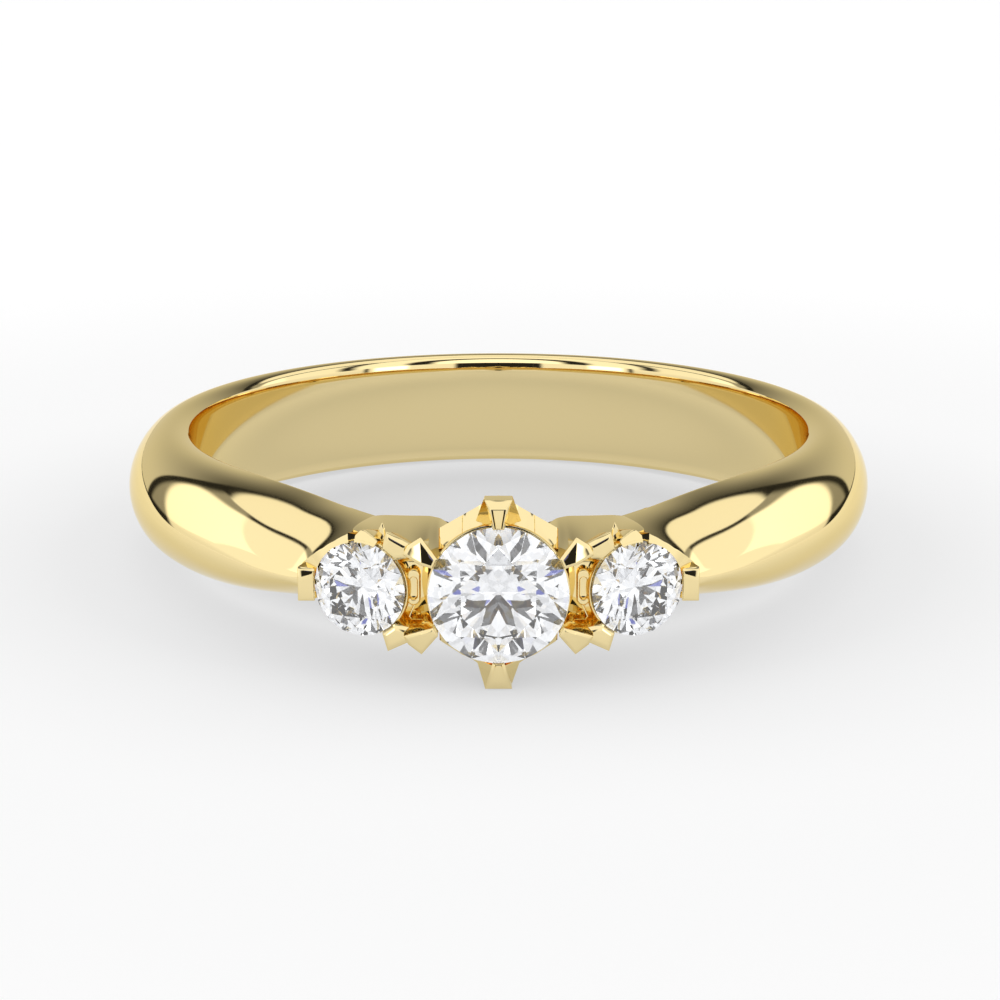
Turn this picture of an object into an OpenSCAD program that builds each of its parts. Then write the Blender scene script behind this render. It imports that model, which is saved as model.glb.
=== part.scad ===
// Three stone diamond ring lying on its side.
// Origin: centre of the finger hole. +Z: along the finger hole. The stones face -Y.
// All sizes are in millimetres.

/* [Finger hole] */
// Radius of the finger hole
bore_r = 8.6; // [8.4:0.05:8.8]

/* [Stones] */
// Girdle diameter of the middle stone
center_d = 3.3; // [3.1:0.05:3.3]
// Girdle diameter of a side stone
side_d = 2.3; // [2.1:0.05:2.3]
// Distance of the middle girdle from the ring's axis
center_y = 12.06; // [12:0.02:12.1]
// Sideways place of a side stone
side_x = 3.27; // [3.2:0.02:3.3]
// Distance of a side stone's girdle in front of the ring's axis
side_y = 11.44; // [11.4:0.02:11.5]
// Outward lean of a side stone, in degrees
side_lean = 20; // [18:1:22]
// Clear gap between a stone and the gold
stone_gap = 0.025; // [0.02:0.005:0.05]

/* [Claws] */
// Reach of a middle claw from the stone's axis
center_reach = 2.29; // [2.25:0.01:2.35]
// Width of a claw at its outer end
claw_out_w = 0.62; // [0.5:0.02:0.7]
// Width of a claw where it meets the stone
claw_in_w = 0.36; // [0.3:0.02:0.44]
// Height of a claw's lip above the girdle plane
claw_lip = 0.13; // [0.12:0.01:0.18]

/* [Band behind the stones] */
// Outer radius of the band
band_r = 9.9; // [9.7:0.05:10]

/* [Hidden] */

GOLD = "goldenrod";
DIAMOND = "white";

// Round cuts in the gold and their smoothness
FINE = 96;
// Anything that only has to reach past the part
FAR = 20;

// Shank sections, a row for each angle from the stones round to the back: angle,
// crest radius, half widths at the rim, the waist and the brow of the section,
// half width of the flat on the crest
ANGLE = 0;
CREST = 1;
RIM = 2;
WAIST = 3;
BROW = 4;
FLAT = 5;
SECTIONS = [
    [ 20, 11.95, 0.87, 0.70, 0.62, 0.24],
    [ 25, 11.75, 1.02, 0.87, 0.71, 0.10],
    [ 31, 11.50, 1.22, 1.14, 0.89, 0.04],
    [ 38, 11.20, 1.38, 1.31, 1.19, 0.00],
    [ 50, 10.75, 1.46, 1.62, 1.25, 0.00],
    [ 66, 10.38, 1.46, 1.76, 1.50, 0.00],
    [ 90, 10.30, 1.46, 2.00, 1.68, 0.00],
    [130, 10.20, 1.48, 2.18, 1.66, 0.00],
    [180, 10.15, 1.48, 2.19, 1.64, 0.00]
];
// Least half width of the flat, so that no section ends in a point
FLAT_MIN = 0.001;
// Stations round the shank and points over each section's dome
SHANK_STEPS = 80;
DOME_STEPS = 11;
// How far the loft and the band reach inside the finger hole before it is bored, and
// how far outside the hole the sections start
BORE_STOCK = 0.25;
BORE_EDGE = 0.02;
// Slanting cut that ends each shoulder, from the claw's tip to the band
SHOULDER_TIP = [4.786, 11.149];
SHOULDER_ROOT = [2.94, 8.08];
// Flange of the side collet on that cut: distance in from the tip and half width
FLANGE = [[0, 0.26], [0.08, 0.43], [0.17, 0.50], [0.39, 0.63], [0.72, 0.69], [1.00, 0.70], [1.30, 0.58]];
// How far in front of the band the flange's stock reaches before the cut
FLANGE_REACH = 2;
// Outline of the band from the front: distance from the middle and half width
BAND = [[0, 0.72], [1.20, 0.78], [1.45, 0.94], [1.80, 1.04], [2.45, 0.98], [3.10, 0.86], [3.40, 0.80]];
BAND_ANGLE = 48;

// Cut of a round brilliant, as shares of its radius, and its angles in degrees
TABLE = 0.57;
CROWN_ANGLE = 34.5;
PAVILION_ANGLE = 40.8;
STAR_LENGTH = 0.5;
HALF_LENGTH = 0.77;
GIRDLE = 0.025;
MAINS = 8;

// Claws, in the frame of the stone that they hold: z = 0 is its girdle plane
claw_end_h = 0.45;
claw_root_w = 1.06;
claw_taper = 0.262;
claw_grip = 0.04;
// Height of the wedge claw's outer end above the side girdle, and its narrower width
wedge_rise = 0.28;
wedge_slim = 0.1;
wedge_h = 0.8;
side_reach = 1.50;

// Hexagonal foot of the upper and lower middle claws
petal_half = 1.40;
petal_top = 1.12;
petal_fall = 0.25;
petal_round = 0.62;
petal_neck = 0.33;
petal_edge = 0.2;
petal_draft = 0.3;
petal_bevel = 0.15;
petal_inset = 0.22;

// Funnels under the stones
cup_h = 2.35;
side_cup_h = 2.0;
cup_rim = 0.12;
cup_collar = 0.4;
cup_wall = 0.05;
cup_root = 0.62;
light_hole = 0.42;

// Outlines of a bar's two teeth, each in the frame of the stone that it holds
TOOTH_CENTER = [[1.83, 1.40], [1.40, 0.90], [1.50, 0.69], [2.30, 0.80], [2.10, 1.17]];
TOOTH_SIDE = [[-0.74, 1.47], [-1.25, 1.19], [-1.33, 0.86], [-0.89, 0.80], [-0.556, 1.05]];
bar_depth = 0.62;
bar_lip = 0.08;
bar_undercut = 0.2;

// Plate between two collets, with its slot: nearest x, width, setback from the middle girdle
web_x = 1.55;
web_w = 0.8;
web_h = 1.8;
web_drop = 0.55;
web_l = 1.8;
slot_x = 2.02;
slot_w = 0.26;
slot_h = 0.72;
slot_rise = 0.1;

// Solder pad between a side collet and its shoulder, in the side stone's frame
PAD_LOW = [0.4, -0.5, -1.75];
PAD_SIZE = [0.95, 1.0, 1.25];

// Overlap of solids that are soldered together
JOIN = 0.01;

// Catmull-Rom curve through four values
function curve(a, b, c, d, t) = 0.5 * (2 * b + (c - a) * t
    + (2 * a - 5 * b + 4 * c - d) * t * t + (3 * b - a - 3 * c + d) * t * t * t);

// Row of SECTIONS whose span holds the angle
function row_of(angle, i = 0) =
    i >= len(SECTIONS) - 2 || angle < SECTIONS[i + 1][ANGLE] ? i : row_of(angle, i + 1);

// One column of SECTIONS at any angle
function section(angle, col) =
    let(
        i = row_of(angle),
        last = len(SECTIONS) - 1,
        t = (angle - SECTIONS[i][ANGLE]) / (SECTIONS[i + 1][ANGLE] - SECTIONS[i][ANGLE])
    )
    curve(
        SECTIONS[max(i - 1, 0)][col], SECTIONS[i][col],
        SECTIONS[i + 1][col], SECTIONS[min(i + 2, last)][col], t
    );

// Half width of a section at a share h of its height
function half_width(angle, h) =
    let(
        wide = section(angle, RIM) * pow(1 - h, 2) + 2 * section(angle, WAIST) * h * (1 - h)
            + section(angle, BROW) * h * h,
        flat = max(section(angle, FLAT), FLAT_MIN),
        dome = sqrt(1 - h * h)
    )
    flat + (wide - flat) * dome;

// Share of the height of each point over the dome, close together at the crest
function dome_share(k) = sin(90 * k / DOME_STEPS);

// Upper half of a section as [radius, z], from the stock inside the bore to the crest
function half_section(angle) = concat(
    [[bore_r - BORE_STOCK, section(angle, RIM) - BORE_STOCK]],
    [for (k = [0:DOME_STEPS])
        let(h = dome_share(k))
        [bore_r + BORE_EDGE + (section(angle, CREST) - bore_r - BORE_EDGE) * h, half_width(angle, h)]]
);

function mirrored(half) = [for (i = [len(half) - 1:-1:0]) [half[i][0], -half[i][1]]];

function full_section(angle) = concat(half_section(angle), mirrored(half_section(angle)));

// A section stood up at its angle from the stones, positive towards +X
function stand(points, angle) =
    [for (p = points) [p[0] * sin(angle), -p[0] * cos(angle), p[1]]];

// Point list index of corner j on ring i of a sweep
function corner(i, j, n) = i * n + j % n;

module shank_loft() {
    first = SECTIONS[0][ANGLE];
    turn = 360 - 2 * first;
    n = len(full_section(first));
    rings = [for (i = [0:SHANK_STEPS]) first + turn * i / SHANK_STEPS];
    points = [for (a = rings) each stand(full_section(a > 180 ? 360 - a : a), a)];
    sides = [for (i = [0:SHANK_STEPS - 1], j = [0:n - 1]) each [
        [corner(i, j, n), corner(i + 1, j, n), corner(i + 1, j + 1, n)],
        [corner(i, j, n), corner(i + 1, j + 1, n), corner(i, j + 1, n)]
    ]];
    start = [for (j = [0:n - 1]) j];
    end = [for (j = [n - 1:-1:0]) corner(SHANK_STEPS, j, n)];
    polyhedron(points, concat(sides, [start], [end]));
}

module both_sides() {
    children();
    mirror([1, 0, 0]) children();
}

// Everything in front of the slanting cut of the right shoulder
module shoulder_cut() {
    run = SHOULDER_TIP - SHOULDER_ROOT;
    outer = SHOULDER_TIP + run;
    inner = SHOULDER_ROOT - run;
    translate([0, 0, -FAR / 2]) linear_extrude(FAR)
        polygon([
            [outer[0], -outer[1]], [inner[0], -inner[1]], [0, -inner[1]], [0, -FAR], [outer[0], -FAR]
        ]);
}

// Frame of the middle stone: its table looks along local +Z, ring +Z is local +Y
module at_center() {
    translate([0, -center_y, 0]) rotate([90, 0, 0]) children();
}

// Frame of the right stone
module at_side() {
    translate([side_x, -side_y, 0]) rotate([90, 0, side_lean]) children();
}

module shank() {
    difference() {
        shank_loft();
        both_sides() shoulder_cut();
    }
}

// Flange of the side collet on the end of the right shoulder
module flange() {
    outline = concat(FLANGE, mirrored(FLANGE));
    difference() {
        rotate([90, 0, 0]) translate([0, 0, bore_r]) linear_extrude(band_r - bore_r + FLANGE_REACH)
            polygon([for (p = outline) [SHOULDER_TIP[0] - p[0], p[1]]]);
        shoulder_cut();
    }
}

// The other half of an outline, mirrored in the upright, without the points on it
function other_side(right) = [for (i = [len(right) - 2:-1:1]) [-right[i][0], right[i][1]]];

module band() {
    intersection() {
        rotate([0, 0, -90 - BAND_ANGLE / 2])
            rotate_extrude(angle = BAND_ANGLE, $fn = FINE)
                translate([bore_r - BORE_STOCK, -FAR / 2]) square([band_r - bore_r + BORE_STOCK, FAR]);
        rotate([90, 0, 0]) linear_extrude(FAR)
            polygon(concat(BAND, mirrored(BAND), other_side(concat(BAND, mirrored(BAND)))));
    }
}

// Round funnel that carries a stone's girdle
module cup(stone_r, height) {
    cone_h = height - cup_rim - cup_collar;
    mouth_r = stone_r + cup_wall;
    translate([0, 0, -height]) cylinder(h = cone_h, r1 = stone_r * cup_root, r2 = mouth_r, $fn = FINE);
    translate([0, 0, -cup_rim - cup_collar - JOIN]) cylinder(h = cup_collar + JOIN, r = mouth_r, $fn = FINE);
}

// Wedge claw along local +Y: a flat face that widens outwards, two sloping sides that
// widen towards the stone, and a body that is undercut towards the band
module claw(inner, outer, depth, w_out = claw_out_w, end_z = 0) {
    foot = outer - claw_taper * (depth - claw_end_h);
    claw_head([
        for (s = [-1, 1]) each [
            [s * claw_in_w / 2, inner, claw_lip], [s * w_out / 2, outer, end_z],
            [s * w_out / 2, outer, -claw_end_h], [s * claw_root_w / 2, inner, -claw_end_h]
        ]
    ]);
    translate([-w_out / 2, 0, 0]) rotate([90, 0, 90]) linear_extrude(w_out)
        polygon([
            [inner, JOIN - claw_end_h], [outer, JOIN - claw_end_h], [outer, -claw_end_h], [foot, -depth],
            [inner * cup_root, -depth]
        ]);
}

// Solid between the left and the right side of a claw, four corners on each side
module claw_head(corners) {
    polyhedron(corners, [
        [0, 1, 5, 4], [1, 2, 6, 5], [2, 3, 7, 6], [3, 0, 4, 7],
        [2, 1, 0], [3, 2, 0], [4, 5, 6], [4, 6, 7]
    ]);
}

// Wide foot of the upper and lower middle claws, cut from a hexagonal collet
module petal() {
    difference() {
        rotate([90, 0, 180]) linear_extrude(center_reach - petal_inset)
            polygon([
                [-petal_neck, -petal_round], [petal_neck, -petal_round],
                [petal_neck + petal_round, -petal_top],
                [petal_half, -petal_top - petal_fall], [petal_half, -petal_top - petal_fall - petal_edge],
                [petal_half - petal_draft, -cup_h], [petal_draft - petal_half, -cup_h],
                [-petal_half, -petal_top - petal_fall - petal_edge], [-petal_half, -petal_top - petal_fall],
                [-petal_neck - petal_round, -petal_top]
            ]);
        for (s = [-1, 1]) {
            translate([s * (petal_neck + petal_round), FAR / 2, -petal_top + petal_round])
                rotate([90, 0, 0]) cylinder(h = FAR, r = petal_round, $fn = FINE);
            rotate([0, 0, -30 * s])
                translate([-FAR / 2, center_reach - petal_bevel, 0])
                    rotate([-atan(claw_taper), 0, 0])
                        translate([0, 0, -FAR / 2]) cube(FAR);
        }
        translate([-FAR / 2, petal_draft - FAR, -FAR / 2]) cube(FAR);
    }
}

module center_head() {
    r = center_d / 2;
    at_center() {
        cup(r, cup_h);
        for (turn = [0, 180]) rotate([0, 0, turn]) {
            petal();
            claw(r - claw_grip, center_reach, cup_h);
        }
    }
}

// Prism from an outline at height top down to the same outline, slid by shift
module leaning(outline, top, depth, shift) {
    n = len(outline);
    upper = [for (p = outline) [p[0], p[1], top]];
    lower = [for (p = outline) [p[0] + shift[0], p[1] + shift[1], top - depth]];
    sides = [for (j = [0:n - 1]) each [[j, (j + 1) % n, n + (j + 1) % n], [j, n + (j + 1) % n, n + j]]];
    caps = [[for (j = [n - 1:-1:0]) j], [for (j = [n:2 * n - 1]) j]];
    polyhedron(concat(upper, lower), concat(sides, caps));
}

// Upper and lower double toothed bar, each undercut towards the middle of the ring
module bars() {
    for (flip = [0, 1]) mirror([0, 0, flip]) {
        at_center() leaning(TOOTH_CENTER, bar_lip, bar_depth + bar_lip, [0, -bar_undercut]);
        at_side() leaning(TOOTH_SIDE, bar_lip, bar_depth + bar_lip, [0, -bar_undercut]);
    }
}

module side_head() {
    r = side_d / 2;
    at_side() {
        cup(r, side_cup_h);
        rotate([0, 0, -90]) claw(r - claw_grip, side_reach, wedge_h, claw_out_w - wedge_slim, wedge_rise);
        translate(PAD_LOW) cube(PAD_SIZE);
    }
    flange();
}

// Plate between two collets, with its upright slot
module web() {
    difference() {
        translate([web_x, web_drop - center_y, -web_h / 2]) cube([web_w, web_l, web_h]);
        translate([slot_x, -center_y, slot_rise - slot_h / 2]) cube([slot_w, web_l, slot_h]);
    }
}

// Room for a stone with its gap, open towards its table
module stone_room(d) {
    r = d / 2 + stone_gap;
    half = GIRDLE * d / 2 + stone_gap;
    deep = r * tan(PAVILION_ANGLE);
    rise = r * tan(CROWN_ANGLE);
    translate([0, 0, -half]) cylinder(h = 2 * half, r = r, $fn = FINE);
    translate([0, 0, -half - deep]) cylinder(h = deep, r1 = 0, r2 = r, $fn = FINE);
    translate([0, 0, half]) cylinder(h = rise, r1 = r, r2 = 0, $fn = FINE);
    translate([0, 0, -FAR / 4]) cylinder(h = FAR / 4, r = r * light_hole, $fn = FINE);
}

module gold_ring() {
    color(GOLD) difference() {
        union() {
            shank();
            band();
            center_head();
            both_sides() {
                side_head();
                bars();
                web();
            }
        }
        translate([0, 0, -FAR / 2]) cylinder(h = FAR, r = bore_r, $fn = 2 * FINE);
        at_center() stone_room(center_d);
        both_sides() at_side() stone_room(side_d);
    }
}

// Point at a radius and an angle, at height z
function polar(r, angle, z) = [r * cos(angle), r * sin(angle), z];

// Round brilliant with its girdle's middle at z = 0 and its table up
module brilliant(d) {
    r = d / 2;
    step = 360 / MAINS;
    half = GIRDLE * r;
    table_r = TABLE * r;
    star_r = table_r * cos(step / 2) + STAR_LENGTH * (r - table_r * cos(step / 2));
    crown_z = half + (r - table_r) * tan(CROWN_ANGLE);
    star_z = half + (r - star_r * cos(step / 2)) * tan(CROWN_ANGLE);
    low_r = r * (1 - HALF_LENGTH);
    low_z = -half - (r - low_r * cos(step / 2)) * tan(PAVILION_ANGLE);
    culet_z = -half - r * tan(PAVILION_ANGLE);
    points = concat(
        [for (k = [0:MAINS - 1]) polar(table_r, (k + 0.5) * step, crown_z)],
        [for (k = [0:MAINS - 1]) polar(star_r, (k + 1) * step, star_z)],
        [for (k = [0:2 * MAINS - 1]) polar(r, (k + 1) * step / 2, half)],
        [for (k = [0:2 * MAINS - 1]) polar(r, (k + 1) * step / 2, -half)],
        [for (k = [0:MAINS - 1]) polar(low_r, (k + 1) * step, low_z)],
        [[0, 0, culet_z]]
    );
    star = MAINS;
    upper = 2 * MAINS;
    lower = 4 * MAINS;
    low = 6 * MAINS;
    culet = 7 * MAINS;
    last = MAINS - 1;
    rim = 2 * MAINS;
    faces = concat(
        [[for (k = [last:-1:0]) k]],
        [for (k = [0:last]) [k, (k + 1) % MAINS, star + k]],
        [for (k = [0:last]) [k, star + k, upper + 2 * k, star + (k + last) % MAINS]],
        [for (k = [0:last]) [star + k, upper + 2 * k + 1, upper + 2 * k]],
        [for (k = [0:last]) [star + k, upper + (2 * k + 2) % rim, upper + 2 * k + 1]],
        [for (k = [0:rim - 1]) [upper + k, upper + (k + 1) % rim, lower + (k + 1) % rim, lower + k]],
        [for (k = [0:last]) [lower + 2 * k, lower + 2 * k + 1, low + k]],
        [for (k = [0:last]) [lower + 2 * k + 1, lower + (2 * k + 2) % rim, low + k]],
        [for (k = [0:last]) [culet, low + (k + last) % MAINS, lower + 2 * k, low + k]]
    );
    polyhedron(points, faces);
}

module center_stone() {
    color(DIAMOND) at_center() brilliant(center_d);
}

module right_stone() {
    color(DIAMOND) at_side() brilliant(side_d);
}

module left_stone() {
    color(DIAMOND) mirror([1, 0, 0]) at_side() brilliant(side_d);
}

gold_ring();
center_stone();
left_stone();
right_stone();
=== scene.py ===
"""Looks of a three stone ring in polished yellow gold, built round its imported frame.

All pieces are modelled in millimetres and brought to metres when they are finished.
"""

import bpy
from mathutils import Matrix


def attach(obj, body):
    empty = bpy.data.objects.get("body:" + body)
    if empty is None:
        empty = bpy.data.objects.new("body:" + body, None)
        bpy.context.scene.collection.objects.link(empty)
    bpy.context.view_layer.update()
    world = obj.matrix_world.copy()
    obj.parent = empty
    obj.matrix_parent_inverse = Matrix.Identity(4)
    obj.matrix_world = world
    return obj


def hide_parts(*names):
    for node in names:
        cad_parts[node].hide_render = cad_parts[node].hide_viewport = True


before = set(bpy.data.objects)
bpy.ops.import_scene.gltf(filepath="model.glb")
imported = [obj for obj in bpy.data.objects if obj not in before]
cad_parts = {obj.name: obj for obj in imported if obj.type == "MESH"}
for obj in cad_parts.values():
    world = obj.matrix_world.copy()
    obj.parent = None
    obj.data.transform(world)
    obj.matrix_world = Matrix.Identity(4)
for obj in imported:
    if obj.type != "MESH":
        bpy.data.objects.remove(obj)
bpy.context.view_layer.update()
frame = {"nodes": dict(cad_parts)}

import contextlib
import enum
import logging
import math
from collections.abc import Callable, Iterable, Iterator, Sequence
from dataclasses import dataclass, field

import bmesh
import bpy
import numpy as np
from mathutils import Matrix, Vector

LOG = logging.getLogger("ring")

MM = 0.001
BODY = "root"
SPIN_AXIS = (0.0, 0.0, 1.0)
MERGE_GAP = 1e-4
CUT_GAP = 1e-5

Point = tuple[float, float, float]
Corner = tuple[float, float]
Colour = tuple[float, float, float, float]
Place = Callable[[Vector], Vector]
Socket = bpy.types.NodeSocket
Input = bpy.types.NodeSocket | float

WHITE: Colour = (1.0, 1.0, 1.0, 1.0)


class Side(enum.IntEnum):
    """Side of the ring, seen with the stones in front."""

    LEFT = -1
    RIGHT = 1


class Copies(enum.Enum):
    """Where the ring has a sub-assembly that is built once."""

    ONE = "in the middle"
    SIDES = "on the right and mirrored on the left"
    QUARTERS = "on the upper right and mirrored below and on the left"


def deselect() -> None:
    """Leave nothing selected and no mesh in edit mode."""
    if bpy.context.object and bpy.context.object.mode != "OBJECT":
        bpy.ops.object.mode_set(mode="OBJECT")
    bpy.ops.object.select_all(action="DESELECT")


def focus(piece: bpy.types.Object) -> None:
    """Make a piece the only selected and active object.

    Args:
        piece: The object to work on.
    """
    deselect()
    piece.select_set(True)
    bpy.context.view_layer.objects.active = piece


@contextlib.contextmanager
def editing(piece: bpy.types.Object) -> Iterator[None]:
    """Work on a piece in edit mode, at first with all of it selected.

    Args:
        piece: The mesh object.
    """
    focus(piece)
    bpy.ops.object.mode_set(mode="EDIT")
    bpy.ops.mesh.select_all(action="SELECT")
    yield
    bpy.ops.object.mode_set(mode="OBJECT")


def named(name: str) -> bpy.types.Object:
    """Name the primitive that was just added.

    Args:
        name: Name of the new piece.

    Returns:
        The new piece.
    """
    piece = bpy.context.object
    piece.name = name
    piece.data.name = name
    return piece


def shape(piece: bpy.types.Object, place: Place) -> None:
    """Move every vertex of a piece to where a rule puts it.

    Args:
        piece: The mesh object, in object mode.
        place: Gives a vertex its new place from its present one.
    """
    for vertex in piece.data.vertices:
        vertex.co = place(vertex.co.copy())
    piece.data.update()


def pick_faces(piece: bpy.types.Object, wanted: Callable[[Vector], bool]) -> None:
    """Select the faces of a piece in edit mode by their middle.

    Args:
        piece: The mesh object, in edit mode.
        wanted: Says from a face's middle whether it is picked.
    """
    bpy.ops.mesh.select_mode(type="FACE")
    bpy.ops.mesh.select_all(action="DESELECT")
    mesh = bmesh.from_edit_mesh(piece.data)
    for face in mesh.faces:
        if wanted(face.calc_center_median()):
            face.select_set(True)
    bmesh.update_edit_mesh(piece.data)


def close_shell(piece: bpy.types.Object) -> None:
    """Merge doubles and turn every face outwards."""
    with editing(piece):
        bpy.ops.mesh.remove_doubles(threshold=MERGE_GAP)
        bpy.ops.mesh.normals_make_consistent(inside=False)


def extrude_all(piece: bpy.types.Object, push: Point, times: int = 1) -> None:
    """Extrude the whole of an open sheet.

    Args:
        piece: The sheet.
        push: The way of one extrusion.
        times: How often it is extruded.
    """
    with editing(piece):
        for _ in range(times):
            bpy.ops.mesh.extrude_region_move(TRANSFORM_OT_translate={"value": push})


def apply_modifier(piece: bpy.types.Object, kind: str, **settings: object) -> None:
    """Give a piece one modifier and apply it.

    Args:
        piece: The object to change.
        kind: Modifier type.
        **settings: Properties of the modifier.
    """
    focus(piece)
    modifier = piece.modifiers.new(kind.title(), kind)
    for name, value in settings.items():
        setattr(modifier, name, value)
    bpy.ops.object.modifier_apply(modifier=modifier.name)


def round_edges(piece: bpy.types.Object, width: float, angle: float = 25.0, steps: int = 2) -> None:
    """Round the sharp edges of a piece.

    Args:
        piece: The object to round.
        width: Width of the rounding, in millimetres.
        angle: Least angle of an edge that is rounded, in degrees.
        steps: Faces across the rounding.
    """
    apply_modifier(
        piece, "BEVEL", width=width, segments=steps, limit_method="ANGLE",
        angle_limit=math.radians(angle), harden_normals=False, use_clamp_overlap=True,
    )


def smooth(piece: bpy.types.Object, angle: float = 30.0) -> None:
    """Shade a piece smooth, apart from edges sharper than an angle in degrees."""
    focus(piece)
    bpy.ops.object.shade_smooth_by_angle(angle=math.radians(angle))


def cut_selected(point: Point, normal: Point) -> None:
    """Cut what is selected in edit mode with a plane, drop the waste and close the cut.

    Args:
        point: A point on the plane.
        normal: The plane's normal, towards the waste.
    """
    bpy.ops.mesh.bisect(
        plane_co=point, plane_no=normal, clear_outer=True, use_fill=True, threshold=CUT_GAP,
    )


def cut_away(piece: bpy.types.Object, point: Point, normal: Point) -> None:
    """Cut a whole piece with a plane and close the cut.

    Args:
        piece: The mesh object.
        point: A point on the plane.
        normal: The plane's normal, towards the waste.
    """
    with editing(piece):
        cut_selected(point, normal)


def seat(piece: bpy.types.Object, matrix: Matrix) -> None:
    """Move a finished piece from its local frame, in millimetres, to the ring's, in metres."""
    focus(piece)
    piece.matrix_world = Matrix.Scale(MM, 4) @ matrix
    bpy.ops.object.transform_apply(location=True, rotation=True, scale=True)


def settle(pieces: Iterable[bpy.types.Object], matrix: Matrix) -> None:
    """Shade finished pieces smooth and seat them.

    Args:
        pieces: Pieces in one local frame.
        matrix: Matrix from that frame to the ring's.
    """
    for piece in pieces:
        smooth(piece)
        seat(piece, matrix)


def mirrored_copy(piece: bpy.types.Object, old: str, new: str) -> bpy.types.Object:
    """Copy a piece to the other side of the ring, with its own mesh.

    Args:
        piece: A seated piece.
        old: Word in its name that the copy's name changes.
        new: The copy's word.

    Returns:
        The mirrored copy.
    """
    focus(piece)
    bpy.ops.object.duplicate()
    copy = named(piece.name.replace(old, new))
    copy.scale.x = -1.0
    bpy.ops.object.transform_apply(location=False, rotation=False, scale=True)
    with editing(copy):
        bpy.ops.mesh.normals_make_consistent(inside=False)
        if bmesh.from_edit_mesh(copy.data).calc_volume(signed=True) < 0:
            bpy.ops.mesh.flip_normals()
    return copy


def lower_copy(piece: bpy.types.Object) -> bpy.types.Object:
    """Copy an upper piece to the lower side of the ring: mirrored, then turned half round."""
    copy = mirrored_copy(piece, "upper", "lower")
    copy.scale = (-1.0, 1.0, -1.0)
    bpy.ops.object.transform_apply(location=False, rotation=False, scale=True)
    return copy


class Nodes:
    """Short hand for the nodes of a material or of the light."""

    def __init__(self, tree: bpy.types.NodeTree) -> None:
        """Keep the node tree that the nodes go to."""
        self.tree = tree

    def maths(self, operation: str, first: Input, second: Input | None = None) -> Socket:
        """Add a maths node.

        Args:
            operation: Its operation.
            first: Socket or number of its first input.
            second: Socket or number of its second input.

        Returns:
            Its output.
        """
        node = self.tree.nodes.new("ShaderNodeMath")
        node.operation = operation
        for socket, value in zip(node.inputs, (first, second)):
            if isinstance(value, (int, float)):
                socket.default_value = value
            elif value is not None:
                self.tree.links.new(value, socket)
        return node.outputs[0]

    def ramp(self, value: Socket, source: Corner, target: Corner, kind: str = "SMOOTHSTEP",
             clamp: bool = True) -> Socket:
        """Add a map range node.

        Args:
            value: Socket that is mapped.
            source: Its range.
            target: The range that it is mapped to.
            kind: How it goes from one to the other.
            clamp: Whether the result stays in that range.

        Returns:
            The mapped value.
        """
        node = self.tree.nodes.new("ShaderNodeMapRange")
        node.interpolation_type = kind
        node.clamp = clamp
        self.tree.links.new(value, node.inputs["Value"])
        for name, number in zip(("From Min", "From Max", "To Min", "To Max"), (*source, *target)):
            node.inputs[name].default_value = number
        return node.outputs["Result"]

    def blend(self, first: Colour, second: Colour, share: Socket) -> Socket:
        """Add a mix of two colours.

        Args:
            first: Colour where the share is 0.
            second: Colour where the share is 1.
            share: Socket of the share.

        Returns:
            The mixed colour.
        """
        node = self.tree.nodes.new("ShaderNodeMix")
        node.data_type = "RGBA"
        node.inputs["A"].default_value = first
        node.inputs["B"].default_value = second
        self.tree.links.new(share, node.inputs["Factor"])
        return node.outputs["Result"]

    def place(self) -> Socket:
        """Add the place on the piece, in its own coordinates."""
        return self.tree.nodes.new("ShaderNodeTexCoord").outputs["Object"]

    def clouds(self, scale: float, detail: float) -> Socket:
        """Add a cloudy pattern on a piece.

        Args:
            scale: Fineness of the pattern.
            detail: Number of its finer layers.

        Returns:
            Its value, from 0 to 1.
        """
        node = self.tree.nodes.new("ShaderNodeTexNoise")
        node.inputs["Scale"].default_value = scale
        node.inputs["Detail"].default_value = detail
        self.tree.links.new(self.place(), node.inputs["Vector"])
        return node.outputs["Fac"]


class Finish:
    """A finish whose material has one shader and nodes of its own."""

    @staticmethod
    def blank(name: str) -> tuple[bpy.types.Material, Nodes, bpy.types.ShaderNode]:
        """Start a material.

        Args:
            name: Its name.

        Returns:
            The material, the short hand for its nodes, and its shader.
        """
        material = bpy.data.materials.new(name)
        material.use_nodes = True
        return material, Nodes(material.node_tree), material.node_tree.nodes["Principled BSDF"]


@dataclass(frozen=True)
class PolishedGold(Finish):
    """Mirror polished pale yellow gold.

    Attributes:
        colour: Linear reflectance.
        deep: The same where the gold is a little deeper in colour.
        edge: Tint of the reflection at a grazing angle.
        roughness: Roughness of the polish.
        haze: How much the roughness varies.
        cloud: Fineness of the pattern of colour and haze.
    """

    colour: Colour = (0.90, 0.745, 0.40, 1.0)
    deep: Colour = (0.8865, 0.72265, 0.372, 1.0)
    edge: Colour = (0.95, 0.87, 0.64, 1.0)
    roughness: float = 0.035
    haze: float = 0.025
    cloud: float = 260.0

    def material(self) -> bpy.types.Material:
        """Build the node material."""
        material, kit, shader = self.blank("polished_gold")
        cloud = kit.clouds(self.cloud, detail=3.0)
        polish = kit.ramp(cloud, (0.0, 1.0), (self.roughness, self.roughness + self.haze), "LINEAR")
        kit.tree.links.new(kit.blend(self.colour, self.deep, cloud), shader.inputs["Base Color"])
        kit.tree.links.new(polish, shader.inputs["Roughness"])
        shader.inputs["Metallic"].default_value = 1.0
        shader.inputs["Specular Tint"].default_value = self.edge
        return material


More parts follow.
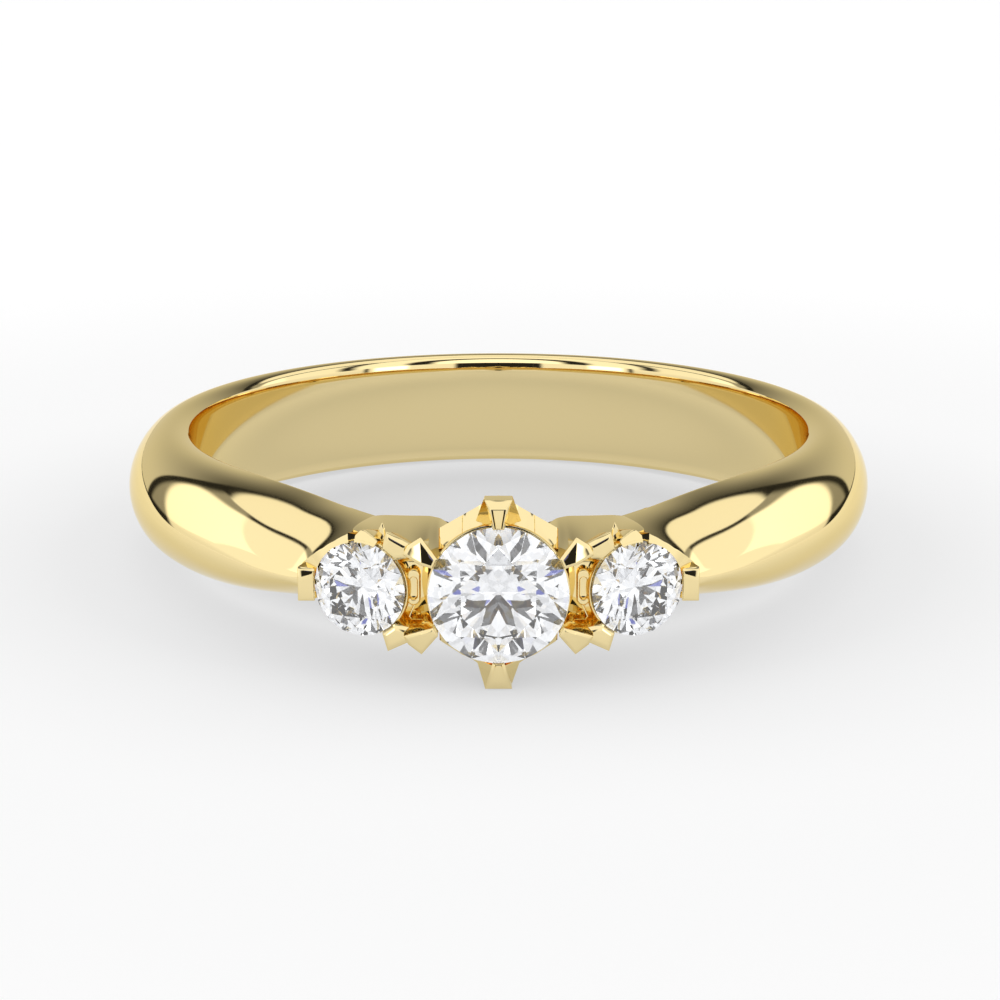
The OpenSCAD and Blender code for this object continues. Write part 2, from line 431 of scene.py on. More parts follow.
@dataclass(frozen=True)
class CutDiamond(Finish):
    """Colourless diamond.

    Attributes:
        colour: Tint of the stone.
        cold: Tint of its colder growth zones.
        zone: Fineness of the growth zones.
        ior: Refractive index.
    """

    colour: Colour = (0.985, 0.99, 1.0, 1.0)
    cold: Colour = (0.93, 0.955, 1.0, 1.0)
    zone: float = 900.0
    ior: float = 2.417

    def material(self) -> bpy.types.Material:
        """Build the node material."""
        material, kit, shader = self.blank("cut_diamond")
        zones = kit.clouds(self.zone, detail=2.0)
        kit.tree.links.new(kit.blend(self.colour, self.cold, zones), shader.inputs["Base Color"])
        shader.inputs["Roughness"].default_value = 0.0
        shader.inputs["IOR"].default_value = self.ior
        shader.inputs["Transmission Weight"].default_value = 1.0
        return material


@dataclass(frozen=True)
class WhitePaper(Finish):
    """White matt paper that glows a little, as painted light that lifts its shade, and less so under the
    ring, as a painted shadow.

    Attributes:
        colour: Linear reflectance.
        painted_shadow_glow: Strength of the glowing that paints the shadow, under the ring and beside it.
        brink: Distances from the ring's middle between which the painted shadow gives way to the full
            glowing, in metres.
        painted_shade_swells: Further painted shade and painted light round the ring, each as two distances
            and the change of the glowing.
        roughness: Roughness of the paper.
    """

    colour: Colour = (0.36, 0.36, 0.36, 1.0)
    painted_shadow_glow: Corner = (0.41, 0.62)
    brink: Corner = (0.0066, 0.0094)
    painted_shade_swells: tuple[Point, ...] = (
        (0.0095, 0.0125, -0.065), (0.0125, 0.020, 0.045), (0.022, 0.045, 0.05),
    )
    roughness: float = 0.9

    def material(self) -> bpy.types.Material:
        """Build the node material."""
        material, kit, shader = self.blank("white_paper")
        shader.inputs["Base Color"].default_value = self.colour
        shader.inputs["Emission Color"].default_value = WHITE
        shader.inputs["Roughness"].default_value = self.roughness
        shader.inputs["Specular IOR Level"].default_value = 0.0
        length = kit.tree.nodes.new("ShaderNodeVectorMath")
        length.operation = "LENGTH"
        kit.tree.links.new(kit.place(), length.inputs[0])
        away = length.outputs["Value"]
        # Painted shadow: the paper glows less under the ring, then dips and rises beside it, standing in
        # for the shade that the ring casts.
        painted_shadow_glow = kit.ramp(away, self.brink, self.painted_shadow_glow)
        for near, far, change in self.painted_shade_swells:
            painted_shadow_glow = kit.maths("ADD", painted_shadow_glow, kit.ramp(away, (near, far), (0.0, change)))
        kit.tree.links.new(painted_shadow_glow, shader.inputs["Emission Strength"])
        return material


@dataclass(frozen=True)
class StoneSeat:
    """Where a stone's girdle lies: x to the right, y along +Z of the ring, z out of the table.

    Attributes:
        x: Sideways place of the girdle's middle, in millimetres.
        y: How far it lies in front of the ring's axis.
        lean: Outward lean, in degrees.
        diameter: Girdle diameter.
    """

    x: float
    y: float
    lean: float
    diameter: float

    @property
    def radius(self) -> float:
        """Girdle radius."""
        return self.diameter / 2

    def matrix(self) -> Matrix:
        """Matrix from the stone's frame to the ring's."""
        turn = Matrix.Rotation(math.radians(self.lean), 4, "Z")
        stand = Matrix.Rotation(math.radians(90.0), 4, "X")
        return Matrix.Translation((self.x, -self.y, 0.0)) @ turn @ stand


CENTER = StoneSeat(x=0.0, y=12.06, lean=0.0, diameter=3.3)
RIGHT = StoneSeat(x=3.27, y=11.44, lean=20.0, diameter=2.3)


class SubAssembly:
    """A part of the ring that is built once, copied to its other places and dressed.

    Attributes:
        slot: Material slot of its pieces; not used.
        copies: Where the ring has it.
        nodes: Nodes of the frame that its first pieces replace, in order.
    """

    slot: str = "yellow_gold"
    copies: Copies = Copies.ONE
    nodes: tuple[str, ...] = ()

    def build(self) -> list[bpy.types.Object]:
        """Build the pieces and seat them."""
        raise NotImplementedError

    def build_all(self) -> list[bpy.types.Object]:
        """Build the pieces and copy them to their other places on the ring."""
        pieces = self.build()
        if self.copies is Copies.QUARTERS:
            pieces += [lower_copy(piece) for piece in pieces]
        if self.copies is not Copies.ONE:
            pieces += [mirrored_copy(piece, "right", "left") for piece in pieces]
        return pieces

    def dress(self, pieces: Sequence[bpy.types.Object], material: bpy.types.Material) -> None:
        """Give pieces their finish and body, and hide the nodes of the frame that they replace.

        Args:
            pieces: The finished pieces.
            material: The finish.
        """
        for piece in pieces:
            piece.data.materials.clear()
            piece.data.materials.append(material)
            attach(piece, BODY)
            LOG.info("%s: %d faces", piece.name, len(piece.data.polygons))
        for piece, node in zip(pieces, self.nodes):
            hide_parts(node)


@dataclass(frozen=True)
class Section:
    """One section of the shank, in millimetres.

    Attributes:
        angle: Angle from the stones round to the back, in degrees.
        crest: Radius of the crest.
        rim: Half width at the finger hole.
        waist: Control half width between rim and brow.
        brow: Control half width at the crest.
        flat: Half width of the flat on the crest.
    """

    angle: float
    crest: float
    rim: float
    waist: float
    brow: float
    flat: float


@dataclass
class Shank(SubAssembly):
    """Domed shank that swells into two shoulders.

    Attributes:
        bore: Radius of the finger hole.
        blank: Middle radius of the round wire that it starts from.
        sections: Sections from the shoulder to the back.
        ends: Angle at which the loft starts, in degrees.
        stations: Sections swept all round.
        points: Vertices round a section.
        dome: Share of those that lie on the dome.
        edge: Rounding of the finger hole's edges.
        tip: Place where the shoulder's slanting end starts, as x and distance in front.
        root: Place where it ends.
        curves: Bend of each column of the sections at each section, once fitted.
    """

    nodes = ("gold_ring",)

    bore: float = 8.6
    blank: float = 10.0
    sections: tuple[Section, ...] = (
        Section(20, 11.95, 0.87, 0.93, 0.79, 0.25),
        Section(25, 11.72, 1.02, 1.16, 0.62, 0.00),
        Section(31, 11.50, 1.22, 1.19, 0.83, 0.00),
        Section(38, 11.19, 1.38, 1.28, 1.17, 0.00),
        Section(50, 10.74, 1.46, 1.64, 1.17, 0.00),
        Section(66, 10.38, 1.46, 1.78, 1.53, 0.00),
        Section(90, 10.30, 1.46, 2.00, 1.68, 0.00),
        Section(130, 10.20, 1.48, 2.18, 1.66, 0.00),
        Section(180, 10.15, 1.48, 2.19, 1.64, 0.00),
    )
    ends: float = 17.5
    stations: int = 288
    points: int = 96
    dome: float = 0.8
    edge: float = 0.05
    tip: Corner = (4.606, 11.149)
    root: Corner = (2.76, 8.08)
    curves: dict[str, np.ndarray] = field(default_factory=dict)

    def fit(self) -> None:
        """Lay a curve of smooth curvature through each column of the sections."""
        knots = np.radians([s.angle for s in self.sections])
        count = len(knots)
        for name in ("crest", "rim", "waist", "brow", "flat"):
            value = np.array([getattr(s, name) for s in self.sections])
            system, right = np.zeros((count, count)), np.zeros(count)
            system[0, 0] = 1.0
            gap, rise = np.diff(knots), np.diff(value)
            for i in range(1, count - 1):
                system[i, i - 1 : i + 2] = gap[i - 1], 2 * (gap[i - 1] + gap[i]), gap[i]
                right[i] = 6 * (rise[i] / gap[i] - rise[i - 1] / gap[i - 1])
            system[-1, -2:] = gap[-1], 2 * gap[-1]
            right[-1] = -6 * rise[-1] / gap[-1]
            self.curves[name] = np.linalg.solve(system, right)

    def value(self, name: str, angle: float) -> float:
        """Value of one column at an angle in radians."""
        knots = [math.radians(s.angle) for s in self.sections]
        i = min(max(int(np.searchsorted(knots, angle, side="right")) - 1, 0), len(knots) - 2)
        gap = knots[i + 1] - knots[i]
        a, b = (knots[i + 1] - angle) / gap, (angle - knots[i]) / gap
        low, high = (getattr(self.sections[j], name) for j in (i, i + 1))
        bend = self.curves[name]
        return a * low + b * high + ((a**3 - a) * bend[i] + (b**3 - b) * bend[i + 1]) * gap * gap / 6

    def profile(self, angle: float, turn: float) -> Corner:
        """Point of a section.

        Args:
            angle: Angle of the section from the stones, in radians.
            turn: Way round the section, from 0 at the crest to 1 inside the finger hole.

        Returns:
            Radius and height of the point.
        """
        rim = self.value("rim", angle)
        share = abs(turn) / self.dome
        if share > 1.0:
            inside = (abs(turn) - self.dome) / (1.0 - self.dome)
            return self.bore, math.copysign(rim * (1.0 - inside), turn)
        rise = math.cos(share * math.pi / 2)
        waist, brow = self.value("waist", angle), self.value("brow", angle)
        flat = max(self.value("flat", angle), 0.0)
        wide = rim * (1 - rise) ** 2 + 2 * waist * rise * (1 - rise) + brow * rise**2
        height = flat + (wide - flat) * math.sqrt(max(1 - rise * rise, 0.0))
        if turn == 0.0:
            height = 0.0
        return self.bore + (self.value("crest", angle) - self.bore) * rise, math.copysign(height, turn)

    def build(self) -> list[bpy.types.Object]:
        """Spin a round section round the finger hole and give every section its own form."""
        self.fit()
        start = math.radians(self.ends)
        deselect()
        bpy.ops.mesh.primitive_circle_add(vertices=self.points, radius=1.0, fill_type="NOTHING")
        piece = named("shank")
        shape(piece, lambda v: Vector((
            (self.blank + v.x) * math.sin(start), -(self.blank + v.x) * math.cos(start), v.y
        )))
        with editing(piece):
            bpy.ops.mesh.spin(
                steps=self.stations, angle=2 * start - 2 * math.pi, center=(0, 0, 0), axis=SPIN_AXIS,
            )
        shape(piece, self.place)
        round_edges(piece, self.edge, angle=50.0, steps=4)
        self.cut_shoulders(piece)
        close_shell(piece)
        smooth(piece, angle=35.0)
        seat(piece, Matrix.Identity(4))
        return [piece]

    def place(self, v: Vector) -> Vector:
        """Move a point of the spun round wire to the shank's own form."""
        way = math.atan2(v.x, -v.y) % (2 * math.pi)
        turn = math.atan2(v.z, math.hypot(v.x, v.y) - self.blank) / math.pi
        if abs(turn) < MERGE_GAP:
            turn = 0.0
        radius, height = self.profile(min(way, 2 * math.pi - way), turn)
        return Vector((radius * math.sin(way), -radius * math.cos(way), height))

    def cut_shoulders(self, piece: bpy.types.Object) -> None:
        """Cut both shoulders along their slanting ends and close the cuts."""
        run = Vector((self.tip[0] - self.root[0], self.root[1] - self.tip[1], 0.0))
        front = -self.bore / 2
        for side in Side:
            waste = Vector((run.y * side, -run.x, 0.0)).normalized()
            point = Vector((self.tip[0] * side, -self.tip[1], 0.0))
            with editing(piece):
                pick_faces(piece, lambda middle, s=side: middle.x * s > 0 and middle.y < front)
                cut_selected(point, waste)


@dataclass
class Brilliant(SubAssembly):
    """Round brilliant with 57 facets, cut from a many sided cylinder.

    Attributes:
        seat: Where the stone lies.
        name: Name of the piece.
        table: Share of the diameter that the table takes.
        crown: Crown angle, in degrees.
        pavilion: Pavilion angle, in degrees.
        star: Star length as a share.
        half: Lower half length as a share.
        girdle: Girdle thickness as a share of the diameter.
        mains: Number of main facets.
        sides: Sides of the round blank.
        copies: Where the ring has it.
        nodes: The nodes that it and its copy replace.
    """

    slot = "diamond"

    seat: StoneSeat
    name: str
    table: float = 0.57
    crown: float = 34.5
    pavilion: float = 40.8
    star: float = 0.5
    half: float = 0.77
    girdle: float = 0.012
    mains: int = 8
    sides: int = 96
    copies: Copies = Copies.ONE
    nodes: tuple[str, ...] = ()

    def build(self) -> list[bpy.types.Object]:
        """Cut the blank facet by facet, then seat the stone."""
        r = self.seat.radius
        crown_h = r * (1 - self.table) * math.tan(math.radians(self.crown))
        deep = r * math.tan(math.radians(self.pavilion))
        edge = self.girdle * r
        bpy.ops.mesh.primitive_cylinder_add(
            vertices=self.sides, radius=r, depth=crown_h + deep + 2 * edge,
            location=(0, 0, (crown_h - deep) / 2),
        )
        piece = named(self.name)
        focus(piece)
        bpy.ops.object.transform_apply(location=True, rotation=False, scale=False)
        table_r = self.table * r
        step = math.pi / self.mains
        star_r = table_r * math.cos(step) + self.star * (r - table_r * math.cos(step))
        star_z = edge + (r - star_r * math.cos(step)) * math.tan(math.radians(self.crown))
        low_r = r * (1 - self.half)
        low_z = -edge - (r - low_r * math.cos(step)) * math.tan(math.radians(self.pavilion))
        top = edge + crown_h
        for k in range(self.mains):
            main = 2 * k * step + step
            self.facet(piece, self.ring(r, main, edge), self.ring(table_r, main, top), main)
            self.facet(piece, self.ring(r, main, -edge), Vector((0, 0, -edge - deep)), main)
        for k in range(self.mains):
            middle = 2 * k * step
            self.plane(
                piece, self.ring(table_r, middle - step, top), self.ring(table_r, middle + step, top),
                self.ring(star_r, middle, star_z),
            )
            for side in Side:
                for inner, height in (((star_r, star_z), edge), ((low_r, low_z), -edge)):
                    self.plane(
                        piece, self.ring(inner[0], middle, inner[1]), self.ring(r, middle, height),
                        self.ring(r, middle + side * step, height),
                    )
        close_shell(piece)
        seat(piece, self.seat.matrix())
        return [piece]

    @staticmethod
    def ring(radius: float, angle: float, z: float) -> Vector:
        """Point at a radius, an angle and a height."""
        return Vector((radius * math.cos(angle), radius * math.sin(angle), z))

    def facet(self, piece: bpy.types.Object, outer: Vector, inner: Vector, angle: float) -> None:
        """Cut a main facet through two points, square to its own radius."""
        across = Vector((-math.sin(angle), math.cos(angle), 0.0))
        self.plane(piece, outer, inner, outer + across)

    @staticmethod
    def plane(piece: bpy.types.Object, a: Vector, b: Vector, c: Vector) -> None:
        """Cut along the plane of three points and drop the side away from the stone's middle."""
        normal = (b - a).cross(c - a).normalized()
        if normal.dot(a) < 0:
            normal = -normal
        cut_away(piece, tuple(a), tuple(normal))


def polygon(name: str, corners: Sequence[Point], fill: str = "NGON") -> bpy.types.Object:
    """Add a circle and move its corners to a polygon's.

    Args:
        name: Name of the piece.
        corners: Corners of the polygon, in order.
        fill: Whether it has a face, NGON, or only its outline, NOTHING.

    Returns:
        The polygon.
    """
    deselect()
    bpy.ops.mesh.primitive_circle_add(vertices=len(corners), radius=1.0, fill_type=fill)
    piece = named(name)
    for vertex, corner in zip(piece.data.vertices, corners):
        vertex.co = corner
    return piece


def plate(name: str, corners: Sequence[Point], push: Point) -> bpy.types.Object:
    """Fill an outline and extrude it.

    Args:
        name: Name of the piece.
        corners: Corners of the outline, in order.
        push: The extrusion.

    Returns:
        The closed piece.
    """
    piece = polygon(name, corners)
    with editing(piece):
        bpy.ops.mesh.extrude_region_move(TRANSFORM_OT_translate={"value": push})
        bpy.ops.mesh.select_all(action="SELECT")
        bpy.ops.mesh.normals_make_consistent(inside=False)
    return piece


def lathe(name: str, profile: Iterable[Corner], sides: int) -> bpy.types.Object:
    """Turn a closed profile round the local Z axis.

    Args:
        name: Name of the piece.
        profile: Corners of the profile as radius and height, in order.
        sides: Steps of the turn.

    Returns:
        The turned piece.
    """
    piece = polygon(name, [(radius, 0.0, height) for radius, height in profile], "NOTHING")
    with editing(piece):
        bpy.ops.mesh.spin(steps=sides, angle=2 * math.pi, center=(0, 0, 0), axis=SPIN_AXIS)
    close_shell(piece)
    return piece


def sheet(name: str, columns: int, rows: int) -> bpy.types.Object:
    """Add a grid from -1 to 1 both ways, to be bent into a sheet.

    Args:
        name: Name of the piece.
        columns: Its columns.
        rows: Its rows.

    Returns:
        The grid.
    """
    deselect()
    bpy.ops.mesh.primitive_grid_add(x_subdivisions=columns, y_subdivisions=rows, size=2.0)
    return named(name)


def arc(center: Corner, radius: float, start: float, end: float, steps: int) -> list[Corner]:
    """Points of an arc.

    Args:
        center: Middle of the arc.
        radius: Its radius.
        start: Angle of its first point, in degrees.
        end: Angle of its last point.
        steps: Chords of the arc.

    Returns:
        The points, both ends included.
    """
    angles = [math.radians(start + (end - start) * k / steps) for k in range(steps + 1)]
    return [(center[0] + radius * math.cos(a), center[1] + radius * math.sin(a)) for a in angles]


def turned(piece: bpy.types.Object, degrees: float) -> bpy.types.Object:
    """Turn a piece about its local Z axis, with its place kept in its mesh."""
    turn = Matrix.Rotation(math.radians(degrees), 3, "Z")
    shape(piece, lambda v: turn @ v)
    return piece


def stack(name: str, loops: list[Sequence[Point]]) -> bpy.types.Object:
    """Extrude a face through loops of corners, each with the same number of corners.

    Args:
        name: Name of the piece.
        loops: Loops from the foot to the top; the first and the last one are closed by a face.

    Returns:
        The closed piece.
    """
    piece = polygon(name, loops[0])
    with editing(piece):
        bpy.ops.mesh.select_mode(type="FACE")
        bpy.ops.mesh.select_all(action="SELECT")
        for before, after in zip(loops, loops[1:]):
            bpy.ops.mesh.extrude_region_move(TRANSFORM_OT_translate={"value": (0, 0, 0)})
            mesh = bmesh.from_edit_mesh(piece.data)
            for vertex in [v for v in mesh.verts if v.select]:
                gaps = [(vertex.co - Vector(corner)).length for corner in before]
                vertex.co = after[gaps.index(min(gaps))]
            bmesh.update_edit_mesh(piece.data)
        bpy.ops.mesh.select_all(action="SELECT")
        bpy.ops.mesh.normals_make_consistent(inside=False)
    return piece


def shrunk(outline: Iterable[Corner], inset: float) -> list[Corner]:
    """Move the sides of a convex outline inwards.

    Args:
        outline: Corners of the outline, in order.
        inset: How far the sides move.

    Returns:
        The corners of the smaller outline.
    """
    corners = [Vector(c) for c in outline]
    middle = sum(corners, Vector((0.0, 0.0))) / len(corners)
    result = []
    for i, corner in enumerate(corners):
        sides = []
        for start, end in ((corners[i - 1], corner), (corner, corners[(i + 1) % len(corners)])):
            inward = Vector((start.y - end.y, end.x - start.x)).normalized()
            sides.append(inward if inward.dot(middle - start) > 0 else -inward)
        both = sides[0] + sides[1]
        result.append(tuple(corner + both * (inset / (1.0 + sides[0].dot(sides[1])))))
    return result


@dataclass
class Cup:
    """Funnel under a stone, with a seat for its pavilion.

    Attributes:
        stone: Seat of the stone that it carries.
        height: Height below the girdle.
        rim: Depth of its rim under the girdle plane.
        collar: Height of the straight collar.
        wall: How far the collar stands outside the girdle.
        root: Share of the girdle radius at the foot.
        light_hole: Share of the girdle radius of the hole behind the stone.
        gap: Clear gap round the stone.
        sides: Steps of the turn.
        rounding: Rounding of its edges.
    """

    stone: StoneSeat
    height: float
    rim: float = 0.12
    collar: float = 0.14
    wall: float = 0.03
    root: float = 0.62
    light_hole: float = 0.42
    gap: float = 0.025
    sides: int = 96
    rounding: float = 0.02

    def build(self, name: str) -> bpy.types.Object:
        """Turn the funnel."""
        r = self.stone.radius
        slope = math.tan(math.radians(Brilliant.pavilion))
        room = r + self.gap
        seat_top = room - (self.rim - Brilliant.girdle * r - self.gap) / slope
        hole = room * self.light_hole
        seat_low = -(Brilliant.girdle * r + self.gap + (room - hole) * slope)
        piece = lathe(name, [
            (r + self.wall, -self.rim), (r + self.wall, -self.rim - self.collar),
            (r * self.root, -self.height), (hole, -self.height), (hole, seat_low), (seat_top, -self.rim),
        ], self.sides)
        round_edges(piece, self.rounding)
        return piece


@dataclass(frozen=True)
class Claw:
    """Wedge claw along local +Y: a flat face in a narrow facet and a wide chamfer.

    Each pair of half widths goes from the stone to the claw's end.

    Attributes:
        stone: Seat of the stone that it holds.
        outer: Where it ends, from the stone's axis.
        depth: How far it reaches down.
        grip: How far it reaches over the stone.
        edge: Half widths at its sides.
        rim: Half widths at the upper side of the chamfer.
        face: Half widths of the face.
        lip: Height of the face above the girdle, at the stone and at the end.
        chamfer: Size of the chamfer at the end.
        fall: How far the chamfer falls at the sides.
        facet: Size of the facet between face and chamfer at the end.
        facet_fall: How far the facet falls, at the stone and at the end.
        end_h: Depth of its upright end.
        root_w: Half width of its root at the stone.
        taper: How far it leans in per millimetre of depth.
        clear: Gap between its body and the stone.
        foot: Where its foot starts, as a share of where its body does.
        ledge: Height of the top of its body and of the grip's under side, at the stone.
        drop: How far the top of its body lies under the chamfer at the end.
        lap: How far over the stone the chamfer and the face stay behind the grip.
        rounding: Rounding of its edges.
    """

    stone: StoneSeat
    outer: float
    depth: float
    grip: float = 0.04
    edge: Corner = (0.14, 0.32)
    rim: Corner = (0.105, 0.20)
    face: Corner = (0.085, 0.18)
    lip: Corner = (0.14, 0.11)
    chamfer: float = 0.17
    fall: float = 0.12
    facet: float = 0.03
    facet_fall: Corner = (0.01, 0.018)
    end_h: float = 0.45
    root_w: float = 0.53
    taper: float = 0.262
    clear: float = 0.035
    foot: float = 0.6
    ledge: Corner = (0.07, 0.08)
    drop: float = 0.03
    lap: Corner = (0.03, 0.05)
    rounding: float = 0.012

    def build(self, name: str) -> bpy.types.Object:
        """Stack the foot, the body, the chamfer, the facet and the face."""
        body = self.stone.radius + self.clear
        inner = self.stone.radius - self.grip
        foot_end = self.outer - self.taper * (self.depth - self.end_h)
        rim_end = self.outer - self.chamfer
        rim_z = tuple(self.lip[k] - self.facet_fall[k] for k in (0, 1))
        edge_z = rim_z[1] - self.fall
        root, wide = (self.root_w, self.edge[1]), (self.edge[1], self.edge[1])
        piece = stack(name, [
            self.loop(wide, (body * self.foot, foot_end), (-self.depth, -self.depth)),
            self.loop(root, (body, self.outer), (-self.end_h, -self.end_h)),
            self.loop(self.edge, (body, self.outer), (self.ledge[0], edge_z - self.drop)),
            self.loop(self.edge, (inner, self.outer), (self.ledge[1], edge_z)),
            self.loop(self.rim, (inner + self.lap[0], rim_end), rim_z),
            self.loop(self.face, (inner + self.lap[1], rim_end - self.facet), self.lip),
        ])
        round_edges(piece, self.rounding, angle=12.0)
        return piece

    @staticmethod
    def loop(half: Corner, reach: Corner, height: Corner) -> list[Point]:
        """Give the four corners of a claw's section.

        Args:
            half: Half widths at the stone and at the end.
            reach: Distances of both from the stone's axis.
            height: Heights of both over the girdle.

        Returns:
            The corners.
        """
        near, far = zip(reach, height)
        return [(-half[0], *near), (half[0], *near), (half[1], *far), (-half[1], *far)]


@dataclass
class Petal:
    """Foot of a claw: the part of a six sided collet under it, scooped up to the claw.

    Attributes:
        stone: Seat of the stone above it, whose room it keeps free.
        reach: Reach of the collet's sides from the stone's axis.
        height: Height below the girdle.
        half: Half width.
        top: Depth of its shoulders under the girdle.
        fall: How far the shoulders fall outwards.
        scoop: Radius of the scoops beside the claw.
        neck: Half width between the scoops.
        edge: Height of the upright ends.
        corner: Radius of the corners over these ends, and how far they start under the fall.
        brow: Angle from the side at which a corner starts, in degrees.
        chords: Chords of a scoop and of a corner.
        turn: Angle of the collet's sides from the claw's direction, in degrees.
        draft: How far the sides lean in.
        crease: Width of the crease where the scoop ends.
        taper: How far the collet's sides lean in per millimetre of depth.
        back: Where it stops near the stone's axis.
        slant: How far its upper side rises towards the stone, per millimetre.
        rounding: Rounding of its edges.
    """

    stone: StoneSeat
    reach: float = 2.14
    height: float = 2.35
    half: float = 1.40
    top: float = 1.12
    fall: float = 0.25
    scoop: float = 0.50
    neck: float = 0.33
    edge: float = 0.06
    corner: Corner = (0.14, 0.12)
    brow: float = 65.0
    chords: tuple[int, int] = (16, 6)
    turn: float = 30.0
    draft: float = 0.42
    crease: float = 0.012
    taper: float = 0.262
    back: float = 0.75
    slant: float = 0.62
    rounding: float = 0.02

    def build(self, name: str) -> bpy.types.Object:
        """Extrude the outline of the foot and cut it to the collet's sides."""
        middle, shoulder = self.neck + self.scoop, -self.top - self.fall
        corner, drop = self.corner
        right = arc((middle, self.scoop - self.top), self.scoop, 180.0, 270.0, self.chords[0])
        right += [
            (middle + self.crease, -self.top - self.crease), (middle + 2 * self.crease, -self.top),
            *arc((self.half - corner, shoulder - drop), corner, self.brow, 0.0, self.chords[1]),
            (self.half, shoulder - self.edge), (self.half - self.draft, -self.height),
        ]
        outline = [(-x, z) for x, z in reversed(right)] + right
        rise = self.slant * (self.reach - self.back)
        risen = rise - self.height + MERGE_GAP
        piece = plate(name, [(x, self.reach, z) for x, z in outline], (0.0, self.back - self.reach, rise))
        shape(piece, lambda v: Vector((v.x, v.y, -self.height)) if v.z < risen else v)
        turn = math.radians(self.turn)
        for side in Side:
            out = Vector((side * math.sin(turn), math.cos(turn), 0.0))
            lean = (out + Vector((0.0, 0.0, -self.taper))).normalized()
            cut_away(piece, tuple(out * self.reach), tuple(lean))
        cup, slope = Cup(self.stone, self.height), math.radians(Brilliant.pavilion)
        brink = (0.0, self.stone.radius + cup.gap, -Brilliant.girdle * self.stone.radius - cup.gap)
        cut_away(piece, brink, (0.0, -math.sin(slope), math.cos(slope)))
        close_shell(piece)
        round_edges(piece, self.rounding, angle=35.0)
        return piece


@dataclass(frozen=True)
class Tooth:
    """One tooth of a bar, in the frame of the stone that it holds.

    Attributes:
        outline: Corners of its top.
        height: Height of the top at the first corner.
        slope: Rise of the top along x and along y.
        chamfer: Width of the chamfer round the top.
        facet: Width of the facet inside the chamfer.
        ridge: Number of the corner where a ridge from the first corner ends, or 0.
        roof: Fall of the top beyond the ridge, per millimetre along x.
    """

    outline: tuple[Corner, ...]
    height: float
    slope: Corner
    chamfer: float
    facet: float = 0.0
    ridge: int = 0
    roof: float = 0.0

    def top(self, outline: Iterable[Corner], drop: float) -> list[Point]:
        """Lift corners to the top.

        Args:
            outline: The corners.
            drop: How far they stay under it.

        Returns:
            The lifted corners.
        """
        points = []
        for x, y in outline:
            right, up = x - self.outline[0][0], y - self.outline[0][1]
            z = self.height + self.slope[0] * right + self.slope[1] * up - drop
            points.append((x, y, z - self.roof * max(right, 0.0)))
        return points


@dataclass
class ToothedBar(SubAssembly):
    """Two claws side by side that hold two stones, each with a faceted top.

    Attributes:
        middle: Tooth at the middle stone.
        side: Tooth at the right stone.
        depth: Depth of the bar.
        undercut: How far it leans in towards the ring's middle plane.
        fall: Fall of the facet and of the chamfer, as shares of their widths.
        rounding: Rounding of its edges.
    """

    copies = Copies.QUARTERS

    middle: Tooth = Tooth(
        ((1.80, 1.42), (2.11, 1.20), (2.22, 0.99), (1.81, 0.80), (1.52, 0.71), (1.41, 0.93)),
        height=0.09, slope=(0.0, -0.28), chamfer=0.07, ridge=3, roof=0.42,
    )
    side: Tooth = Tooth(
        ((-0.72, 1.46), (-1.25, 1.19), (-1.33, 0.86), (-0.89, 0.77), (-0.59, 1.02)),
        height=0.12, slope=(0.16, 0.0), chamfer=0.08, facet=0.05,
    )
    depth: float = 0.62
    undercut: float = 0.2
    fall: Corner = (0.28, 0.8)
    rounding: float = 0.008

    def tooth(self, name: str, form: Tooth, stone: StoneSeat) -> bpy.types.Object:
        """Build one tooth and seat it beside its stone.

        Args:
            name: Name of the tooth.
            form: Its outline and its faces.
            stone: Seat of the stone that it holds.

        Returns:
            The seated tooth.
        """
        rim = shrunk(form.outline, form.chamfer)
        facet_fall = form.facet * self.fall[0]
        loops = [
            [(x, y - self.undercut, -self.depth) for x, y in form.outline],
            form.top(form.outline, facet_fall + form.chamfer * self.fall[1]), form.top(rim, facet_fall),
        ]
        if form.facet:
            loops.append(form.top(shrunk(rim, form.facet), 0.0))
        piece = stack(name, loops)
        if form.ridge:
            self.crease(piece, loops[-1][0], loops[-1][form.ridge])
        round_edges(piece, self.rounding, angle=12.0)
        smooth(piece, angle=20.0)
        seat(piece, stone.matrix())
        return piece

    @staticmethod
    def crease(piece: bpy.types.Object, start: Point, end: Point) -> None:
        """Join two corners of a face by an edge.

        Args:
            piece: The piece.
            start: One corner.
            end: The other one.
        """
        with editing(piece):
            bpy.ops.mesh.select_mode(type="VERT")
            bpy.ops.mesh.select_all(action="DESELECT")
            mesh = bmesh.from_edit_mesh(piece.data)
            for corner in (Vector(start), Vector(end)):
                gaps = [(vertex.co - corner).length for vertex in mesh.verts]
                mesh.verts.ensure_lookup_table()
                mesh.verts[gaps.index(min(gaps))].select_set(True)
            bmesh.update_edit_mesh(piece.data)
            bpy.ops.mesh.vert_connect()

    def build(self) -> list[bpy.types.Object]:
        """Build both teeth of the upper right bar."""
        return [
            self.tooth("right_upper_middle_tooth", self.middle, CENTER),
            self.tooth("right_upper_side_tooth", self.side, RIGHT),
        ]


